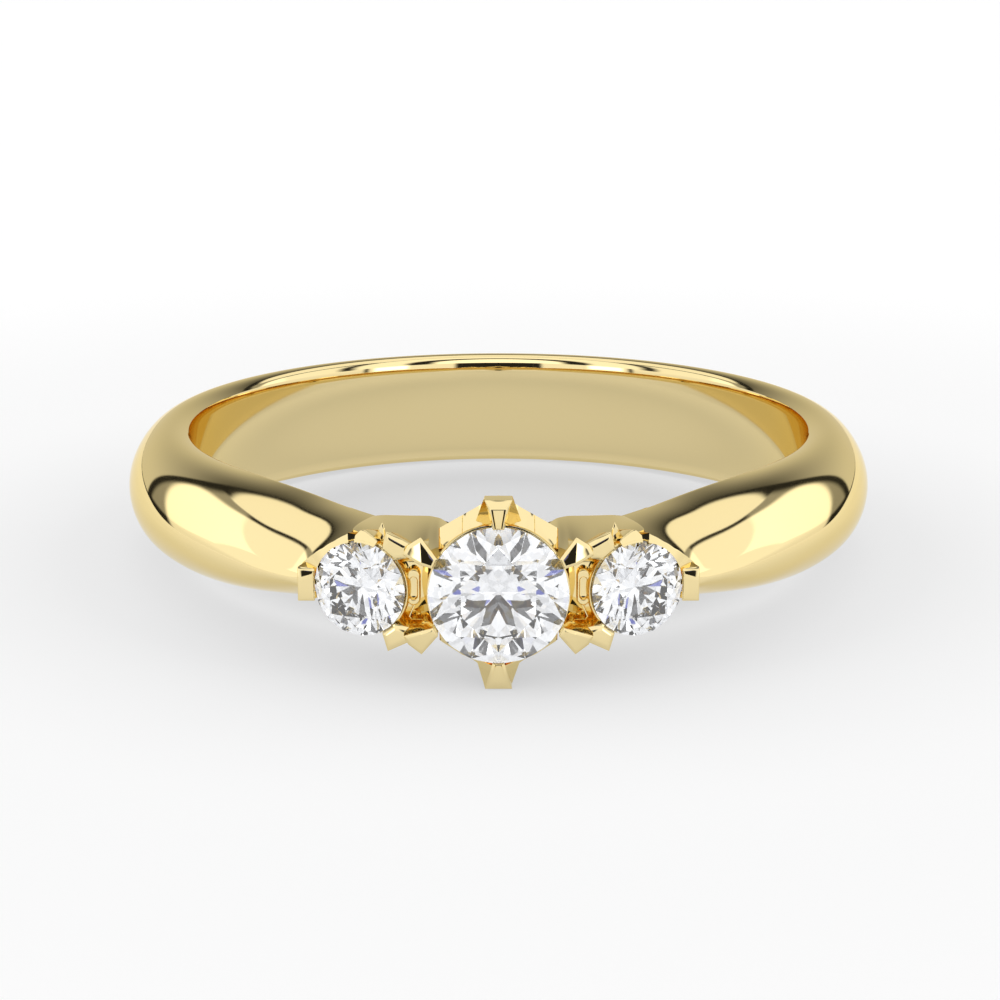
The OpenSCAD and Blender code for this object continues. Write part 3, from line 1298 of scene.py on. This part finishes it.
@dataclass
class Band(SubAssembly):
    """Low band that joins the shoulders behind the collets.

    Attributes:
        outer: Outer radius.
        bore: Inner radius.
        outline: Distance from the middle and half width of its edge.
        columns: Columns of its grid.
        rows: Rows of its grid.
        rounding: Rounding of its edges.
    """

    outer: float = 9.9
    bore: float = 8.6
    outline: tuple[Corner, ...] = (
        (0.0, 0.72), (1.20, 0.76), (1.45, 0.86), (1.80, 0.92), (2.45, 0.92), (3.10, 0.82), (3.40, 0.78),
    )
    columns: int = 96
    rows: int = 8
    rounding: float = 0.04

    def face(self, v: Vector) -> Vector:
        """Move a point of the grid to the band's outer side."""
        across, half = zip(*self.outline)
        x = v.x * across[-1]
        high = v.y * float(np.interp(abs(x), across, half))
        return Vector((x, -math.sqrt(self.outer**2 - x * x), high))

    def inside(self, v: Vector) -> Vector:
        """Move a point that was pushed inwards to the finger hole, and leave the others."""
        if v.y < -self.outer / 2:
            return v
        x = v.x * self.bore / self.outer
        return Vector((x, -math.sqrt(self.bore**2 - x**2), v.z))

    def build(self) -> list[bpy.types.Object]:
        """Bend a grid round the finger hole and give it its wall."""
        piece = sheet("band", self.columns, self.rows)
        shape(piece, self.face)
        extrude_all(piece, (0.0, self.outer, 0.0))
        shape(piece, self.inside)
        close_shell(piece)
        round_edges(piece, self.rounding, angle=40.0)
        settle([piece], Matrix.Identity(4))
        return [piece]


@dataclass
class Gallery(SubAssembly):
    """Plate on the band that closes the room between two collets above and below.

    Attributes:
        back: Back edge as x, distance in front of the ring's axis and height.
        front: Front edge in the same way, with as many points.
        bend: How late the plate bends down at its inner and at its outer end, as powers.
        bent: The two x between which one bend changes to the other.
        wall: Thickness.
        columns: Columns of its grid.
        rows: Rows of its grid.
        rounding: Rounding of its edges.
        smoothing: How often its grid is smoothed.
    """

    copies = Copies.QUARTERS

    back: tuple[Point, ...] = (
        (1.22, 8.62, 0.86), (1.42, 8.62, 1.00), (1.68, 8.62, 1.06), (2.20, 8.60, 1.06), (2.81, 8.55, 1.06),
        (3.10, 8.42, 0.98),
    )
    front: tuple[Point, ...] = (
        (1.25, 10.70, 0.50), (1.50, 11.00, 0.56), (1.75, 11.20, 0.74), (2.20, 11.25, 0.96),
        (2.75, 10.95, 0.93), (3.65, 9.35, 0.88),
    )
    bend: Corner = (2.0, 4.5)
    bent: Corner = (2.3, 2.9)
    wall: float = 0.16
    columns: int = 60
    rows: int = 24
    rounding: float = 0.03
    smoothing: int = 12

    def place(self, v: Vector) -> Vector:
        """Move a point of the grid to its place between both edges."""
        along, ahead = (v.x + 1) / 2, (v.y + 1) / 2
        steps = np.linspace(0.0, 1.0, len(self.back))
        edges = [[float(np.interp(along, steps, [p[k] for p in edge])) for k in range(3)]
                 for edge in (self.back, self.front)]
        x, y, _ = Vector(edges[0]).lerp(Vector(edges[1]), ahead)
        power = float(np.interp(x, self.bent, self.bend))
        return Vector((x, -y, edges[0][2] + (edges[1][2] - edges[0][2]) * ahead**power))

    def build(self) -> list[bpy.types.Object]:
        """Bend a grid between both edges and give it its wall."""
        piece = sheet("right_upper_gallery", self.columns, self.rows)
        shape(piece, self.place)
        with editing(piece):
            bpy.ops.mesh.vertices_smooth(factor=0.5, repeat=self.smoothing)
            bpy.ops.mesh.extrude_region_move(TRANSFORM_OT_translate={"value": (0.0, 0.0, -self.wall)})
            bpy.ops.mesh.select_all(action="SELECT")
            bpy.ops.mesh.normals_make_consistent(inside=False)
        round_edges(piece, self.rounding, angle=40.0, steps=3)
        settle([piece], Matrix.Identity(4))
        return [piece]


@dataclass(frozen=True)
class Collar:
    """Crescent round the right stone that laps over its girdle.

    Attributes:
        edge: Outer edge as angle from the outward side, radius and depth under the girdle.
        radius: Radius of its inner edge.
        depth: Depth of its inner edge.
        clear: Radius of its wall beside the stone.
        drops: Depth under the top of its three levels: top, lip and foot.
        shift: How far the foot lies towards the ring's middle plane.
        soften: Angles over which the corners of its edge are softened.
        columns: Columns of its grid.
        rows: Rows of its grid.
        rounding: Rounding of its edges.
    """

    edge: tuple[Point, ...]
    radius: float = 1.13
    depth: float = -0.06
    clear: float = 1.185
    drops: Point = (0.0, 0.03, 0.9)
    shift: float = 0.2
    soften: tuple[float, ...] = (-1.6, -0.8, 0.0, 0.8, 1.6)
    columns: int = 64
    rows: int = 8
    rounding: float = 0.01

    def outer(self, angle: float) -> Corner:
        """Radius and depth of the outer edge at an angle in degrees, with its corners softened."""
        near = [angle + step for step in self.soften]
        angles, *columns = zip(*self.edge)
        radius, depth = (float(np.mean(np.interp(near, angles, column))) for column in columns)
        return radius, depth

    def place(self, v: Vector) -> Vector:
        """Move a point of the extruded grid to its place round the stone."""
        along, out, level = (v.x + 1) / 2, (v.y + 1) / 2, round(-v.z)
        angle = self.edge[0][0] + (self.edge[-1][0] - self.edge[0][0]) * along
        outer, drop = self.outer(angle)
        inner = self.clear if level else self.radius
        radius = inner + (outer - inner) * out
        depth = self.depth + (drop - self.depth) * out + self.drops[level]
        turn = math.radians(angle)
        back = self.shift if level == len(self.drops) - 1 else 0.0
        return Vector((radius * math.cos(turn), radius * math.sin(turn) - back, -depth))

    def build(self, name: str) -> bpy.types.Object:
        """Extrude a grid twice and bend it round the stone, in the stone's frame."""
        piece = sheet(name, self.columns, self.rows)
        extrude_all(piece, (0.0, 0.0, -1.0), times=len(self.drops) - 1)
        shape(piece, self.place)
        close_shell(piece)
        round_edges(piece, self.rounding, angle=40.0)
        return piece


@dataclass(frozen=True)
class Leaf:
    """Leaf shaped fin behind the upper tooth of the right bar.

    Attributes:
        outline: Corners in the side stone's frame.
        depth: Depth of its front and of its foot.
        aside: How far it leans outwards, per millimetre of depth.
        low: How far its foot lies under its front.
        rim: Width and height of its bevel.
        rounding: Rounding of its edges.
    """

    outline: tuple[Corner, ...] = (
        (-0.48, 1.58), (-0.40, 1.45), (-0.34, 1.29), (-0.36, 1.08), (-0.56, 1.08), (-0.56, 1.26),
        (-0.54, 1.42),
    )
    depth: Corner = (0.30, 1.10)
    aside: float = 0.42
    low: float = 0.25
    rim: Corner = (0.035, 0.02)
    rounding: float = 0.006

    def build(self, name: str) -> bpy.types.Object:
        """Stack the fin's body and its bevelled front."""
        front, foot = self.depth
        lean = self.aside * (foot - front)
        piece = stack(name, [
            [(x + lean, y - self.low, -foot) for x, y in self.outline],
            [(x, y, -front) for x, y in self.outline],
            [(x, y, self.rim[1] - front) for x, y in shrunk(self.outline, self.rim[0])],
        ])
        round_edges(piece, self.rounding, angle=20.0)
        return piece


@dataclass
class Web(SubAssembly):
    """Upright loop between two collets, with a slot, and a rib that runs down from it.

    Attributes:
        middle: Middle of the loop, as x and height.
        half: Half width and half height of the loop.
        slot_middle: Middle of the slot.
        slot_half: Half width and half height of the slot.
        depth: Depth of its front, of the slot's floor and of its back, behind the middle girdle.
        back: Sides of the wall behind the loop as two x, its half height and its depth.
        rib: Ends of the rib, as x and height.
        rib_wall: Thickness of the rib.
        rib_front: How far the rib's front lies behind the loop's.
        bevel: Width and depth of the bevel round the loop's front.
        slot_bevel: Width and depth of the bevel round the slot.
        steps: Chords of each round end.
        rounding: Rounding of the edges.
    """

    copies = Copies.SIDES

    middle: Corner = (1.99, 0.06)
    half: Corner = (0.16, 0.45)
    slot_middle: Corner = (1.995, 0.03)
    slot_half: Corner = (0.083, 0.27)
    depth: Point = (0.50, 0.66, 1.80)
    back: tuple[float, float, float, float] = (1.66, 2.36, 0.90, 0.82)
    rib: tuple[Corner, Corner] = ((1.93, -0.28), (2.20, -0.95))
    rib_wall: float = 0.04
    rib_front: float = 0.1
    bevel: Corner = (0.03, 0.04)
    slot_bevel: Corner = (0.02, 0.03)
    steps: int = 10
    rounding: float = 0.012

    @staticmethod
    def at_depth(outline: Iterable[Corner], depth: float) -> list[Point]:
        """Corners of an upright outline, given as x and height, behind the middle girdle."""
        return [(x, depth - CENTER.y, z) for x, z in outline]

    def track(self, middle: Corner, half: Corner, depth: float, wider: float = 0.0) -> list[Point]:
        """Lay an outline with two round ends.

        Args:
            middle: Its middle, as x and height.
            half: Its half width and half height.
            depth: Its depth behind the middle girdle.
            wider: By how much it is widened all round.

        Returns:
            Its corners.
        """
        radius, straight = half[0] + wider, half[1] - half[0]
        top = arc((middle[0], middle[1] + straight), radius, 0.0, 180.0, self.steps)
        low = arc((middle[0], middle[1] - straight), radius, 180.0, 360.0, self.steps)
        return self.at_depth(top + low, depth)

    def build(self) -> list[bpy.types.Object]:
        """Stack the loop, its rib and the wall behind them."""
        front, floor, back = self.depth
        loop = stack("right_web", [
            self.track(self.middle, self.half, back),
            self.track(self.middle, self.half, front + self.bevel[1]),
            self.track(self.middle, self.half, front, -self.bevel[0]),
            self.track(self.slot_middle, self.slot_half, front, self.slot_bevel[0]),
            self.track(self.slot_middle, self.slot_half, front + self.slot_bevel[1]),
            self.track(self.slot_middle, self.slot_half, floor),
        ])
        (top_x, top_z), (end_x, end_z) = self.rib
        wide = self.rib_wall / 2
        section = [
            (top_x - wide, top_z), (top_x + wide, top_z), (end_x + wide, end_z), (end_x - wide, end_z),
        ]
        rib = stack("right_web_rib", [self.at_depth(section, y) for y in (back, front + self.rib_front)])
        inner, outer, high, near = self.back
        face = [(inner, -high), (outer, -high), (outer, high), (inner, high)]
        wall = stack("right_web_back", [self.at_depth(face, y) for y in (back, near)])
        pieces = [loop, rib, wall]
        for piece in pieces:
            round_edges(piece, self.rounding, angle=30.0)
        settle(pieces, Matrix.Identity(4))
        return pieces


@dataclass
class MiddleHead(SubAssembly):
    """Collet, claws and cup of the middle stone.

    Attributes:
        claw: The claws.
        ridge: Corners of the foot of a claw's right ridge.
        ridge_foot: Height of that foot over the girdle.
        ridge_top: Height of the ridge over the girdle, at the stone and at the end.
    """

    claw: Claw = Claw(CENTER, outer=2.29, depth=2.35)
    ridge: tuple[Corner, ...] = ((0.062, 1.67), (0.088, 1.67), (0.168, 2.08), (0.128, 2.08))
    ridge_foot: float = 0.02
    ridge_top: Corner = (0.21, 0.125)

    def ridges(self, name: str) -> list[bpy.types.Object]:
        """Build the two fine ridges beside the face of a claw."""
        pieces = []
        at_stone, at_end = self.ridge_top
        tops = (at_stone, at_stone, at_end, at_end)
        for side in Side:
            pieces.append(stack(f"{side.name.lower()}_{name}", [
                [(x * side, y, self.ridge_foot) for x, y in self.ridge],
                [(x * side, y, z) for (x, y), z in zip(self.ridge, tops)],
            ]))
        return pieces

    def build(self) -> list[bpy.types.Object]:
        """Build the cup and the upper and lower claw, each with its ridges and on its foot."""
        pieces = [Cup(CENTER, self.claw.depth).build("middle_cup")]
        for word, angle in (("upper", 0.0), ("lower", 180.0)):
            parts = [
                self.claw.build(f"{word}_middle_claw"), *self.ridges(f"{word}_middle_ridge"),
                Petal(CENTER).build(f"{word}_middle_petal"),
            ]
            pieces += [turned(part, angle) for part in parts]
        settle(pieces, CENTER.matrix())
        return pieces


@dataclass
class SideHead(SubAssembly):
    """Collet, claws and cup of the right stone.

    Attributes:
        height: Depth of the collet.
        wedge: The outer wedge claw.
        crescent: The crescent above the wedge.
        wing: The wing between crescent and inner claw.
        seam: The rim below the wedge, given as if it were above.
        bridge: Corners of the top of the link between crescent and wing.
        bridge_foot: How far the link's foot lies towards the ring's middle plane, and its depth.
        leaf: The fin behind the inner claw.
    """

    copies = Copies.SIDES

    height: float = 2.0
    wedge: Claw = Claw(
        RIGHT, outer=1.53, depth=0.8, edge=(0.40, 0.42), rim=(0.33, 0.37), face=(0.20, 0.10),
        lip=(0.14, 0.26), chamfer=0.04, fall=0.06, facet_fall=(0.015, 0.055), root_w=0.40,
    )
    crescent: Collar = Collar((
        (10, 1.72, 0.43), (18.5, 1.56, 0.284), (28, 1.42, 0.172), (42.5, 1.29, 0.068),
        (59, 1.259, 0.043), (74, 1.302, 0.077), (77.8, 1.337, 0.105),
    ))
    wing: Collar = Collar((
        (85, 1.26, 0.045), (89.5, 1.383, 0.142), (94, 1.394, 0.151), (100.5, 1.34, 0.108),
        (108.5, 1.29, 0.068), (111, 1.25, 0.035),
    ))
    seam: Collar = Collar(((10, 1.34, 0.34), (40, 1.21, 0.30), (77, 1.21, 0.30)), radius=1.185, depth=0.28)
    bridge: tuple[Point, ...] = (
        (0.265, 1.16, 0.03), (0.285, 1.325, -0.01), (0.09, 1.285, -0.07), (0.09, 1.187, -0.04),
    )
    bridge_foot: Corner = (0.2, 0.9)
    leaf: Leaf = Leaf()

    def lower_collar(self) -> bpy.types.Object:
        """Build the rim below the wedge."""
        piece = self.seam.build("lower_right_collar")
        shape(piece, lambda v: Vector((v.x, -v.y, v.z)))
        close_shell(piece)
        return piece

    def build(self) -> list[bpy.types.Object]:
        """Build the cup, the wedge claw, the collars round the stone, their link and the fin."""
        shift, deep = self.bridge_foot
        pieces = [
            Cup(RIGHT, self.height).build("right_cup"),
            turned(self.wedge.build("right_wedge_claw"), -90.0),
            self.leaf.build("upper_right_leaf"),
            self.crescent.build("upper_right_collar"),
            self.wing.build("upper_right_wing"),
            stack("upper_right_bridge", [[(x, y - shift, -deep) for x, y, _ in self.bridge], self.bridge]),
            self.lower_collar(),
        ]
        settle(pieces, RIGHT.matrix())
        return pieces


def panel(near: float, far: float, low: float, high: float) -> tuple[Corner, ...]:
    """Corners of a patch of directions, from two angles round and two heights, in degrees."""
    return ((near, low), (far, low), (far, high), (near, high))


@dataclass(frozen=True)
class SoftBox:
    """A soft box of the studio on both sides, as a patch of the directions that it fills.

    A direction is given in degrees: how far it lies round from the camera's side to the back,
    and how high it lies above the horizon.

    Attributes:
        corners: Corners of the convex patch, as around and height.
        strength: Strength at its low and at its high side.
        span: Heights between which the strength changes.
        soft: Width of the soft edge, in degrees.
        spares: Whether it leaves the back window and its frame free.
        tint: Its colour.
    """

    corners: tuple[Corner, ...]
    strength: Corner
    span: Corner = (0.0, 90.0)
    soft: float = 2.5
    spares: bool = False
    tint: Colour = WHITE

    def light(self, kit: Nodes, around: Socket, height: Socket) -> Socket:
        """Light a direction by the soft box.

        Args:
            kit: Maker of nodes.
            around: Socket of the direction's angle round.
            height: Socket of its height.

        Returns:
            Socket of its light.
        """
        lit = kit.ramp(height, self.span, self.strength, "LINEAR")
        corners = [Vector(corner) for corner in self.corners]
        middle = sum(corners, Vector((0.0, 0.0))) / len(corners)
        for start, end in zip(corners, corners[1:] + corners[:1]):
            inward = Vector((start.y - end.y, end.x - start.x)).normalized()
            if inward.dot(middle - start) < 0:
                inward = -inward
            along = kit.maths("MULTIPLY", around, inward.x)
            above = kit.maths("MULTIPLY", height, inward.y)
            deep = kit.maths("ADD", along, above)
            edge = inward.dot(start)
            inside = kit.ramp(deep, (edge - self.soft / 2, edge + self.soft / 2), (0.0, 1.0))
            lit = kit.maths("MULTIPLY", lit, inside)
        return lit


@dataclass(frozen=True)
class BackWindow:
    """Large dim panel behind the ring, with round upper corners.

    Attributes:
        half: Half of its width, in degrees.
        low: Height of its lower edge.
        high: Height of its upper edge.
        power: How square its corners are.
        strength: Strength at its lower edge.
        floor: Strength left at its upper edge.
        frame: Width of the dark frame round it.
        sill: Height over which its lower edge ends.
        under: Measure that is added below the sill.
        soft: Measures between which its light ends.
        outside: Measures, of the window with its frame, between which other light starts.
    """

    half: float = 43.0
    low: float = 2.0
    high: float = 41.0
    power: float = 3.6
    strength: float = 0.70
    floor: float = 0.03
    frame: float = 2.4
    sill: float = 2.0
    under: float = 3.0
    soft: Corner = (0.92, 1.0)
    outside: Corner = (0.92, 1.08)

    def measure(self, kit: Nodes, around: Socket, height: Socket, wider: float = 0.0) -> Socket:
        """Measure a direction against the window.

        Args:
            kit: Maker of nodes.
            around: Socket of the direction's angle round.
            height: Socket of its height.
            wider: Width by which the window is widened.

        Returns:
            Socket that is below 1 inside the window and above 1 outside it.
        """
        across = kit.ramp(around, (180.0, 180.0 - self.half - wider), (0.0, 1.0), "LINEAR", clamp=False)
        up = kit.ramp(height, (self.low, self.high + wider), (0.0, 1.0), "LINEAR", clamp=False)
        edge = (self.low - self.sill - wider, self.low - wider)
        below = kit.ramp(height, edge, (self.under, 0.0), "LINEAR")
        wide = kit.maths("POWER", across, self.power)
        tall = kit.maths("POWER", kit.maths("MAXIMUM", up, 0.0), self.power)
        return kit.maths("ADD", kit.maths("ADD", wide, tall), below)

    def light(self, kit: Nodes, around: Socket, height: Socket) -> Socket:
        """Light a direction by the window, less and less towards its upper edge.

        Args:
            kit: Maker of nodes.
            around: Socket of the direction's angle round.
            height: Socket of its height.

        Returns:
            Socket of its light.
        """
        lit = kit.ramp(self.measure(kit, around, height), self.soft, (1.0, 0.0))
        share = kit.ramp(height, (self.low, self.high), (0.0, 1.0), "LINEAR")
        fade = kit.maths("MULTIPLY", share, share)
        bright = kit.ramp(fade, (0.0, 1.0), (self.strength, self.floor), "LINEAR")
        return kit.maths("MULTIPLY", lit, bright)

    def spared(self, kit: Nodes, around: Socket, height: Socket) -> Socket:
        """Tell where other light may be: nowhere in the window and its frame.

        Args:
            kit: Maker of nodes.
            around: Socket of the direction's angle round.
            height: Socket of its height.

        Returns:
            Socket that goes from 0 in the frame to 1 outside it.
        """
        return kit.ramp(self.measure(kit, around, height, self.frame), self.outside, (0.0, 1.0))


@dataclass
class Studio:
    """Plain floor, camera and soft boxes.

    Attributes:
        boxes: The soft boxes.
        sparkle: A small coloured light for the stones.
        window: The panel behind the ring.
        ambient: Strength between the soft boxes.
        paper: Finish of the floor, with its painted shadow under the ring.
        focal: Focal length of the camera, in millimetres.
        sensor: Width of its sensor, in millimetres.
        near: Least distance that it sees, in metres.
        eye: Place of the camera, in millimetres.
        pitch: How far the camera looks down, in degrees.
        shift: Sideways shift of the picture, as a share of its width.
        floor_size: Side of the floor, in metres.
        toe_zone: Front of the ring, where it touches the floor first, as y in metres.
        heel_gap: Least distance from there to where it touches the floor at the back, in metres.
        clearance: Gap between ring and floor, in metres.
        bounces: Most bounces of light, in all and through the stones.
        mirrorings: Most bounces of light between mirrors.
    """

    boxes: tuple[SoftBox, ...] = (
        SoftBox(
            ((54.5, -5), (146, -5), (148, 42), (150, 54), (153, 60), (54.5, 60)),
            strength=(0.95, 1.12), span=(4, 12), spares=True,
        ),
        SoftBox(
            ((109, 16), (120, 9), (136, 3), (150, 3), (150, 48), (109, 48)),
            strength=(0.30, 0.34), span=(4, 40), spares=True,
        ),
        SoftBox(((200, 42), (149.5, 42), (151.5, 54), (155, 62), (200, 62)), (1.08, 1.08), soft=1.6),
        SoftBox(panel(-10, 200, 63, 73), (1.2, 1.2)),
        SoftBox(panel(-10, 200, 78, 100), (1.5, 1.5)),
        SoftBox(panel(17, 52.5, -5, 60), (1.05, 1.15)),
        SoftBox(panel(-10, 17, 32, 60), (1.1, 1.1)),
        SoftBox(panel(52.5, 54.5, 28, 60), (1.1, 1.1)),
        SoftBox(panel(36, 50, 2, 20), (1.5, 1.5)),
    )
    sparkle: SoftBox = SoftBox(panel(6, 13, 14, 23), (1.0, 1.0), soft=1.0, tint=(0.10, 0.12, 0.52, 1.0))
    window: BackWindow = BackWindow()
    ambient: float = 0.02
    paper: WhitePaper = WhitePaper()
    focal: float = 84.996
    sensor: float = 36.0
    near: float = 0.001
    eye: Point = (0.0, -64.72, 15.73)
    pitch: float = 14.306
    shift: float = 0.0015
    floor_size: float = 3.0
    toe_zone: float = -0.009
    heel_gap: float = 0.004
    clearance: float = 2.0e-6
    bounces: int = 24
    mirrorings: int = 10

    def build(self, resting: bpy.types.Object) -> None:
        """Make the camera, the floor under the ring and the light.

        Args:
            resting: The solid that rests on the floor.
        """
        self.camera()
        self.floor(resting)
        self.light()
        scene = bpy.context.scene
        scene.view_settings.view_transform = "Standard"
        scene.cycles.caustics_reflective = False
        scene.cycles.caustics_refractive = False
        scene.cycles.max_bounces = self.bounces
        scene.cycles.glossy_bounces = self.mirrorings
        scene.cycles.transmission_bounces = self.bounces

    def camera(self) -> None:
        """Stand the camera where the picture was taken from."""
        bpy.ops.object.camera_add(
            location=[c * MM for c in self.eye], rotation=(math.radians(90.0 - self.pitch), 0.0, 0.0),
        )
        camera = bpy.context.object
        camera.name = "camera"
        camera.data.lens = self.focal
        camera.data.sensor_width = self.sensor
        camera.data.shift_x = self.shift
        camera.data.clip_start = self.near
        camera.data.dof.use_dof = False
        bpy.context.scene.camera = camera

    def floor(self, resting: bpy.types.Object) -> None:
        """Lay the floor against the two lowest places of the ring, front and back.

        Args:
            resting: The solid that rests on it.
        """
        corners = np.array([tuple(v.co) for v in resting.data.vertices])
        front = corners[corners[:, 1] < self.toe_zone]
        toe = front[np.argmin(front[:, 2])]
        rest = corners[corners[:, 1] > toe[1] + self.heel_gap]
        slope = float(np.min((rest[:, 2] - toe[2]) / (rest[:, 1] - toe[1])))
        tilt = math.atan(slope)
        bpy.ops.mesh.primitive_plane_add(
            size=self.floor_size, location=(0.0, float(toe[1]), float(toe[2]) - self.clearance),
            rotation=(tilt, 0.0, 0.0),
        )
        floor = named("floor")
        bpy.ops.object.transform_apply(location=True, rotation=True, scale=True)
        floor.data.materials.append(self.paper.material())
        LOG.info("floor tilted by %.2f degrees", math.degrees(tilt))

    def light(self) -> None:
        """Build the window and the soft boxes into the world."""
        world = bpy.data.worlds.new("studio")
        bpy.context.scene.world = world
        world.use_nodes = True
        tree = world.node_tree
        kit = Nodes(tree)
        split = tree.nodes.new("ShaderNodeSeparateXYZ")
        tree.links.new(tree.nodes.new("ShaderNodeTexCoord").outputs["Generated"], split.inputs[0])
        beside = kit.maths("ABSOLUTE", split.outputs["X"])
        ahead = kit.maths("MULTIPLY", split.outputs["Y"], -1.0)
        around = kit.maths("DEGREES", kit.maths("ARCTAN2", beside, ahead))
        height = kit.maths("DEGREES", kit.maths("ARCSINE", split.outputs["Z"]))
        sparkle = self.sparkle.light(kit, around, height)
        total = kit.maths("ADD", self.window.light(kit, around, height), self.ambient)
        total = kit.maths("ADD", total, sparkle)
        spared = self.window.spared(kit, around, height)
        for box in self.boxes:
            lit = box.light(kit, around, height)
            if box.spares:
                lit = kit.maths("MULTIPLY", lit, spared)
            total = kit.maths("ADD", total, lit)
        tint = kit.blend(WHITE, self.sparkle.tint, sparkle)
        background = tree.nodes["Background"]
        tree.links.new(total, background.inputs["Strength"])
        tree.links.new(tint, background.inputs["Color"])


def main() -> None:
    """Build every piece in order, then the studio."""
    logging.basicConfig(level=logging.INFO, format="%(name)s: %(message)s")
    deselect()
    solids = frame["nodes"]
    gold, diamond = PolishedGold().material(), CutDiamond().material()

    for assembly in (Shank(), Band(), MiddleHead(), SideHead(), Web(), ToothedBar(), Gallery()):
        assembly.dress(assembly.build_all(), gold)

    middle = Brilliant(CENTER, "middle_brilliant", nodes=("center_stone",))
    side = Brilliant(
        RIGHT, "right_brilliant", copies=Copies.SIDES, nodes=("right_stone", "left_stone"),
    )
    for stone in (middle, side):
        stone.dress(stone.build_all(), diamond)

    solids["gold_ring"].data.materials.clear()
    solids["gold_ring"].data.materials.append(gold)
    Studio().build(solids["gold_ring"])
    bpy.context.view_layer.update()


if __name__ == "__main__":
    main()
